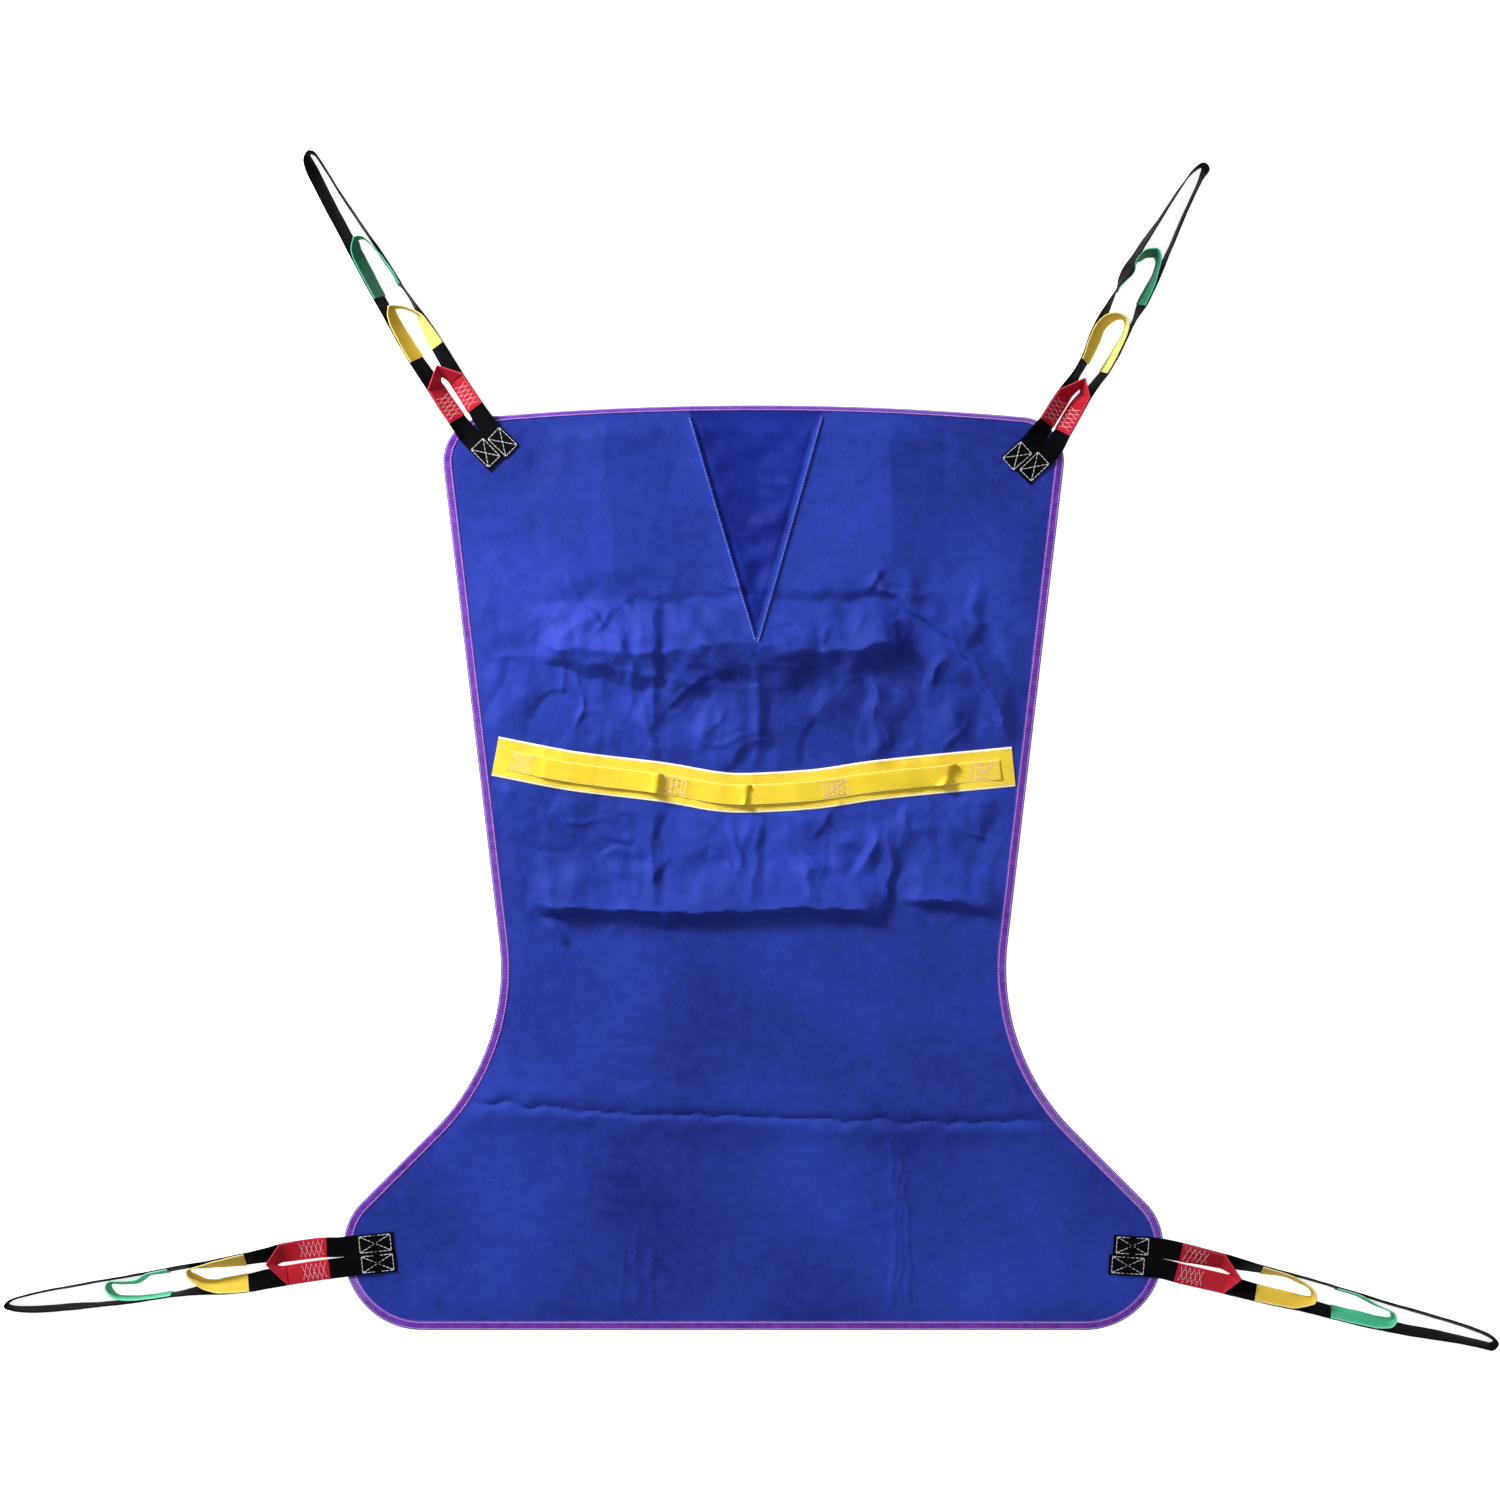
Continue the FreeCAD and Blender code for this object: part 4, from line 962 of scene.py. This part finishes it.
def gusset_seams():
    """The lapped seams that hold the gusset, their stitching and the tack at the point."""
    pieces, threads = [], []
    for side, name in ((-1, "gusset_welt_left"), (1, "gusset_welt_right")):
        rings = np.stack([on_cloth(seam_line(side, share * SEAM_WIDTH), rise * SEAM_HEIGHT)
                          for share, rise in SEAM_SECTION], axis=1)
        pieces.append(sweep(name, rings, rings[:, :, :2], BLUE, whole_ends=True, sharp=70.0))
        threads.append(level(on_cloth(seam_line(side, SEAM_WIDTH / 2), SEAM_HEIGHT)))
    x, y = GUSSET_APEX
    z = cloth_height(x, y)[0] + CLOTH_TOP + TACK_HEIGHT
    for i in range(TACK_BARS):
        threads.append(level(np.array([(x - 3, y - 4 + i * 1.1, z), (x + 3, y - 3.4 + i * 1.1, z)])))
    pieces.append(stitch_mesh("gusset_stitches", threads, SEAM_THREAD, long=2.8, gap=1.2, thick=1.1, seed=31))
    return pieces


# ---- handles ------------------------------------------------------------------------------
def backing_line():
    """The middle of the wide webbing, and the direction of its width along it."""
    line = smooth(BACKING_LINE, CELL)
    direction = unit(np.gradient(line, axis=0))
    return line, np.column_stack([-direction[:, 1], direction[:, 0]])


def backing():
    """The wide webbing that the handles are sewn to, lying on the fabric."""
    line, side = backing_line()
    run = lengths(line)
    section = BACKING_SECTION + [(share, BACKING_UNDERSIDE) for share, _ in reversed(BACKING_SECTION)]
    rings, uvs = [], []
    for share, rise in section:
        rings.append(on_cloth(line + side * share * BACKING_WIDTH / 2, rise * BACKING))
        uvs.append(np.column_stack([run, np.full(len(run), share * BACKING_WIDTH / 2)]))
    return sweep("handle_strip", np.stack(rings, axis=1), np.stack(uvs, axis=1), BACKING_WEB)


def handle_frames():
    """The middle of the handle webbing, the direction of its width, and its lean, along its whole length."""
    line, _ = backing_line()
    x, lift, tilt, lean = smooth(HANDLE_WEB, 2.5).T
    y = np.interp(x, line[:, 0], line[:, 1]) + HANDLE_SHIFT
    slope = np.arctan2(np.gradient(y), np.maximum(np.gradient(x), 0.2))
    tilt = np.radians(tilt)
    plan = np.column_stack([-np.sin(slope), np.cos(slope), np.zeros(len(x))])
    across = plan * np.cos(tilt)[:, None] + UP * np.sin(tilt)[:, None]
    z = cloth_height(x, y) + CLOTH_TOP + BACKING + COLOUR_WEB / 2 + 0.05 + lift
    lower_edge = np.column_stack([x, y, z]) - plan * WEB_WIDTH / 2
    return lower_edge + across * WEB_WIDTH / 2, across, -np.tan(np.radians(lean))


def handles():
    """The handle webbing in six lengths that meet at the middles of the loops and of the inner lands."""
    centres, across, lean = handle_frames()
    cuts = [centres[0, 0] - 1] + HANDLE_SPLITS + [centres[-1, 0] + 1]
    run = lengths(centres)
    pieces = []
    for number, (low, high) in enumerate(zip(cuts, cuts[1:])):
        first = int(np.argmin(np.abs(centres[:, 0] - low)))
        last = int(np.argmin(np.abs(centres[:, 0] - high)))
        part = slice(first, last + 1)
        piece = webbing(f"handle_web_{number + 1}", centres[part], across[part], WEB_WIDTH, COLOUR_WEB, HANDLE,
                        start=run[first], lean=lean[part])
        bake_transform(piece)
        pieces.append(piece)
    return pieces


def handle_stitches():
    """The rows that sew the backing down, and the crossed boxes on the handle webbing's lands."""
    line, side = backing_line()
    rows = [level(on_cloth(line + side * place * (BACKING_WIDTH / 2 - BACKING_STITCH), BACKING))
            for place in (-1, 1)]
    pieces = [stitch_mesh("handle_strip_stitches", rows, CREAM, seed=41)]
    centres, across, _ = handle_frames()
    threads = []
    for low, high in HANDLE_LANDS:
        inner = np.flatnonzero((centres[:, 0] >= low + 3) & (centres[:, 0] <= high - 3))
        inner = inner[centres[inner, 2] < centres[:, 2].min() + 3]
        first, last = centres[inner[0]], centres[inner[-1]]
        half = WEB_WIDTH / 2 - LAND_STITCH
        top = UP * COLOUR_WEB / 2
        corners = [first + across[inner[0]] * half + top, last + across[inner[-1]] * half + top,
                   last - across[inner[-1]] * half + top, first - across[inner[0]] * half + top]
        threads += crossed_box(corners)
        for share in LAND_RUNGS:
            threads.append(level(np.array([corners[0] + (corners[1] - corners[0]) * share,
                                           corners[3] + (corners[2] - corners[3]) * share])))
    pieces.append(stitch_mesh("handle_land_stitches", threads, PINK, long=2.4, gap=0.7, seed=43))
    return pieces


def crossed_box(corners):
    """The threads of a sewn box with a cross in it."""
    return [level(np.array([corners[a] + (corners[b] - corners[a]) * t for t in np.linspace(0, 1, 12)]))
            for a, b in ((0, 1), (1, 2), (2, 3), (3, 0), (0, 2), (1, 3))]


# ---- straps -------------------------------------------------------------------------------
def placed(strap, u, v):
    """A point of a strap's own plan, in the sling's."""
    angle = math.radians(strap["heading"])
    x, y = strap["origin"]
    return (x + u * math.cos(angle) - v * math.sin(angle), y + u * math.sin(angle) + v * math.cos(angle))


def base_at(strap, u):
    """The height of a strap's lowest edge: on the fabric, over the binding, then down on the floor."""
    climb = ease((u - CLIMB_START) / CLIMB_LENGTH)
    drop = 1 - ease((u - strap["box"][1] - DROP_START) / DROP_LENGTH)
    return (ON_CLOTH + (ANCHOR_BASE - ON_CLOTH) * climb) * drop


def middle_height(base, tilt, thickness):
    """The height of a tilted webbing's middle over its lowest edge, at base."""
    return base + (WEB_WIDTH * np.abs(np.sin(tilt)) + thickness * np.abs(np.cos(tilt))) / 2


def across_of(points, tilt):
    """The unit vectors along the webbing's width: to the left of its travel, lifted by tilt."""
    along = unit(np.gradient(points[:, :2], axis=0))
    left = np.column_stack([-along[:, 1], along[:, 0], np.zeros(len(along))])
    return left * np.cos(tilt)[:, None] + UP * np.sin(tilt)[:, None]


def strap_frames(strap):
    """Distance along, middle, width direction and inner face direction of the whole doubled strap."""
    route = smooth(strap["leg_a"] + [strap["tip"]] + strap["leg_b"], STEP)
    u, v, tilt = route[:, 0], route[:, 1], np.radians(route[:, 2])
    x, y = placed(strap, u, v)
    centres = np.column_stack([x, y, middle_height(base_at(strap, u), tilt, BLACK_WEB)])
    across = across_of(centres, tilt)
    face = unit(np.cross(unit(np.gradient(centres, axis=0)), across))
    tip = int(np.argmax(u))
    return {"u": u, "tilt": tilt, "centres": centres, "across": across, "face": face, "tip": tip}


def read_leg(frames, leg, u, what):
    """One of the strap's values, at that distance along one of its legs."""
    part = slice(0, frames["tip"] + 1) if leg == "a" else slice(frames["tip"], None)
    order = np.argsort(frames["u"][part])
    at, values = frames["u"][part][order], frames[what][part][order]
    if values.ndim == 1:
        return float(np.interp(u, at, values))
    return np.array([np.interp(u, at, values[:, k]) for k in range(3)])


def on_leg(frames, leg, u, lift=0.0, side=0.0):
    """A point on a leg, lift above the webbing's middle and side towards its outer edge."""
    centre, face, across = (read_leg(frames, leg, u, what) for what in ("centres", "face", "across"))
    return centre + unit(face) * lift + unit(across) * side


def leg_stops(low, high):
    """Distances along from low to high, about 6 mm apart."""
    return np.linspace(low, high, max(2, round((high - low) / 6) + 1))


def hook_loop(strap, frames, name, colour, finish):
    """A yellow or green hook loop: sewn to both legs, then round its arch."""
    loop = strap[colour]

    def run(leg, reach):
        stops = []
        for u in leg_stops(loop["start"], reach):
            lift = SEWN_LIFT + (FREE_LIFT - SEWN_LIFT) * float(ease((u - loop["hinge"]) / 8))
            stops.append([*on_leg(frames, leg, u, lift), read_leg(frames, leg, u, "tilt")])
        return stops
    arch = []
    for u, v, tilt in loop["arch"]:
        angle = math.radians(tilt)
        arch.append([*placed(strap, u, v), float(middle_height(0, angle, COLOUR_WEB)), angle])
    points = run("a", loop["follows"][0]) + arch + run("b", loop["follows"][1])[::-1]
    curve = smooth(points, STEP)
    centres, tilt = curve[:, :3], curve[:, 3]
    piece = webbing(f"{name}_{colour}_web", centres, across_of(centres, tilt), WEB_WIDTH, COLOUR_WEB, finish)
    return bend_at_hinge(piece, name, colour)


def bend_at_hinge(piece, name, colour):
    """The loop, with its transform baked in, standing for the CAD nodes of its sewn ends and its loop."""
    blend_along(piece)
    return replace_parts(piece, f"{name}_{colour}_ends", f"{name}_{colour}_loop")


def blend_along(piece):
    """The piece, with its transform baked into its mesh."""
    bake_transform(piece)


def red_loop(strap, frames, name):
    """The red hook loop: two flat legs, and the tip folded across them to a point."""
    loop = strap["red"]
    half = WEB_WIDTH / 2

    def legs(leg, reach):
        rows = []
        for u in leg_stops(loop["start"], reach):
            lift = SEWN_LIFT + 0.2 * float(ease((u - loop["hinge"]) / 6))
            rows.append((on_leg(frames, leg, u, lift, half), on_leg(frames, leg, u, lift, -half)))
        return rows
    side_a, side_b = legs("a", loop["corners"][0]), legs("b", loop["corners"][1])[::-1]
    fold = UP * (COLOUR_WEB + 0.3)
    corner_a, corner_b = side_a[-1][0] + fold, side_b[0][0] + fold
    inner_a, inner_b = side_a[-1][1] + fold, side_b[0][1] + fold
    top = max(corner_a[2], corner_b[2]) + 2.0
    apex = np.array([*placed(strap, *loop["apex"]), top])
    outward = np.array([*np.subtract(placed(strap, 1, 0), placed(strap, 0, 0)), 0])
    bow_out = UP * ROOF_RISE + outward * ROOF_BULGE
    roof = []
    for t in np.linspace(0, 1, 15):
        low = inner_a * (1 - t) + inner_b * t + bow_out * math.sin(math.pi * t)
        if t <= 0.5:
            high = corner_a * (1 - 2 * t) + apex * 2 * t
        else:
            high = apex * (2 - 2 * t) + corner_b * (2 * t - 1)
        roof.append((high, low))
    rows = side_a + roof + side_b
    outer, inner = np.array([r[0] for r in rows]), np.array([r[1] for r in rows])
    piece = edge_webbing(f"{name}_red_web", outer, inner, COLOUR_WEB, RED)
    return bend_at_hinge(piece, name, "red")


def edge_webbing(name, outer, inner, thickness, finish):
    """Webbing given by its two edges, for a folded tip whose width varies."""
    middle = (outer + inner) / 2
    across = unit(outer - inner)
    along = unit(np.gradient(middle, axis=0))
    face = unit(np.cross(along, across))
    for i in range(1, len(face)):
        if face[i] @ face[i - 1] < 0:
            face[i] = -face[i]
    half = np.linalg.norm(outer - inner, axis=1) / 2
    section = WEB_SECTION + [(s, -h) for s, h in reversed(WEB_SECTION)]
    run = lengths(middle)
    rings = [[m + a * s * w + f * h * thickness / 2 for s, h in section]
             for m, a, f, w in zip(middle, across, face, half)]
    uvs = [[(u, s * WEB_WIDTH / 2) for s, _ in section] for u in run]
    return sweep(name, rings, uvs, finish)


def red_stitches(strap, frames, name):
    """The zigzags of thread that sew a red loop's two ends down."""
    low, high = strap["red"]["start"] + 4, strap["red"]["hinge"] - 2
    threads = []
    for leg in "ab":
        for phase in (0, 1):
            sides = [ZIGZAG_REACH if (i + phase) % 2 else -ZIGZAG_REACH for i in range(ZIGZAG_MARKS)]
            corners = [on_leg(frames, leg, u, SEWN_LIFT + COLOUR_WEB / 2, side)
                       for u, side in zip(np.linspace(low, high, ZIGZAG_MARKS), sides)]
            line = np.concatenate([[a + (b - a) * t for t in (0, 0.25, 0.5, 0.75)]
                                   for a, b in zip(corners, corners[1:])] + [[corners[-1]]])
            normal = on_leg(frames, leg, (low + high) / 2, 1.0) - on_leg(frames, leg, (low + high) / 2)
            threads.append((line, np.tile(normal, (len(line), 1))))
    piece = stitch_mesh(f"{name}_red_stitches", threads, PINK, long=4.2, gap=0.4, thick=0.6, seed=51)
    on_body(piece, f"{name}_strap", f"{name}_red_stitching")


def anchor_stitches(strap, frames, name, section):
    """A box of white stitching with a cross in it on each sewn end of the strap."""
    low, high = strap["box"]
    half = WEB_WIDTH / 2 - STITCH_INSET
    threads = []
    for leg in "ab":
        threads += crossed_box([on_leg(frames, leg, u, BLACK_WEB / 2, side) for u, side in
                                ((low, -half), (high, -half), (high, half), (low, half))])
    piece = stitch_mesh(f"{name}_anchor_stitches", threads, WHITE, long=5.0, gap=0.5, thick=0.85, seed=61)
    on_body(piece, section, f"{name}_anchor_stitching")


def straps():
    """The four straps, each with its three hook loops and its stitching."""
    for name, strap in STRAPS.items():
        section = "head_section" if name.startswith("shoulder") else "leg_section"
        frames = strap_frames(strap)
        black = webbing(f"{name}_black_web", frames["centres"], frames["across"], WEB_WIDTH, BLACK_WEB, BLACK)
        blend_along(black)
        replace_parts(black, f"{name}_anchor", f"{name}_webbing")
        anchor_stitches(strap, frames, name, section)
        red_loop(strap, frames, name)
        red_stitches(strap, frames, name)
        hook_loop(strap, frames, name, "yellow", YELLOW if section == "head_section" else LIGHT_YELLOW)
        hook_loop(strap, frames, name, "green", GREEN if section == "head_section" else PALE_GREEN)


# ---- putting it together ------------------------------------------------------------------
def on_body(piece, body, *nodes):
    """The piece rides on one body and stands for those CAD nodes."""
    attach(piece, body)
    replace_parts(piece, *nodes)


def over_fold(piece, section, *nodes):
    """The piece, with its transform baked in, stands for those CAD nodes. Section is not used."""
    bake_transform(piece)
    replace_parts(piece, *nodes)


def body():
    """The fabric with its gusset, binding and stitching."""
    lower, upper, gusset = fabric()
    over_fold(upper, "head_section", "head_panel", "back_panel")
    over_fold(lower, "leg_section", "leg_panel")
    on_body(gusset, "head_section", "head_gusset")
    tape_upper, tape_lower = binding()
    over_fold(tape_upper, "head_section", "head_binding", "back_binding")
    over_fold(tape_lower, "leg_section", "leg_binding")
    rows_upper, rows_lower = binding_stitches()
    over_fold(rows_upper, "head_section", "head_binding_stitching", "back_binding_stitching")
    over_fold(rows_lower, "leg_section", "leg_binding_stitching")
    welt_left, welt_right, tack = gusset_seams()
    on_body(welt_left, "head_section", "gusset_seam_left")
    on_body(welt_right, "head_section", "gusset_seam_right")
    on_body(tack, "head_section", "gusset_stitching")


def handle_set():
    """The wide webbing across the back, the handles on it and their stitching."""
    on_body(backing(), "back_section", "handle_backing")
    webs = handles()
    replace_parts(webs[0], "handle_lands", "handle_loop_left")
    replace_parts(webs[2], "handle_loop_centre")
    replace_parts(webs[4], "handle_loop_right")
    rows, boxes = handle_stitches()
    on_body(rows, "back_section", "handle_backing_stitching")
    on_body(boxes, "back_section", "handle_box_stitching")


# ---- studio, in metres --------------------------------------------------------------------
FLOOR_REACH = 60.0
FLOOR_Z = -0.0004
SKY = 0.34
# Each light is (place, size, watts).
LIGHTS = {"key": ((-2.0, 1.6, 1.35), 0.7, 150), "fill": ((0.6, -0.4, 3.6), 3.0, 26)}
CAMERA = (-0.0044, -0.00125, 4.43)
LENS = 85


def put_in_scene(name, data):
    thing = bpy.data.objects.new(name, data)
    bpy.context.scene.collection.objects.link(thing)
    return thing


def studio():
    """A pale floor, a low soft light from the upper left, a weak one above, and a camera straight above."""
    floor = bpy.data.meshes.new("floor")
    corners = [(x * FLOOR_REACH, y * FLOOR_REACH, FLOOR_Z) for x, y in ((-1, -1), (1, -1), (1, 1), (-1, 1))]
    floor.from_pydata(corners, [], [(0, 1, 2, 3)])
    floor.materials.append(floor_material())
    put_in_scene("floor", floor)
    world = bpy.data.worlds.new("studio")
    world.use_nodes = True
    sky = world.node_tree.nodes["Background"]
    sky.inputs[0].default_value = (1.0, 1.0, 1.0, 1)
    sky.inputs[1].default_value = SKY
    bpy.context.scene.world = world
    for name, (place, size, power) in LIGHTS.items():
        data = bpy.data.lights.new(name, "AREA")
        data.size = size
        data.energy = power
        light = put_in_scene(name, data)
        light.location = place
        light.rotation_euler = (-Vector(place)).to_track_quat("-Z", "Y").to_euler()
    lens = bpy.data.cameras.new("camera")
    lens.lens = LENS
    camera = put_in_scene("camera", lens)
    camera.location = CAMERA
    bpy.context.scene.camera = camera
    bpy.context.scene.view_settings.view_transform = "Standard"


body()
handle_set()
straps()
studio()
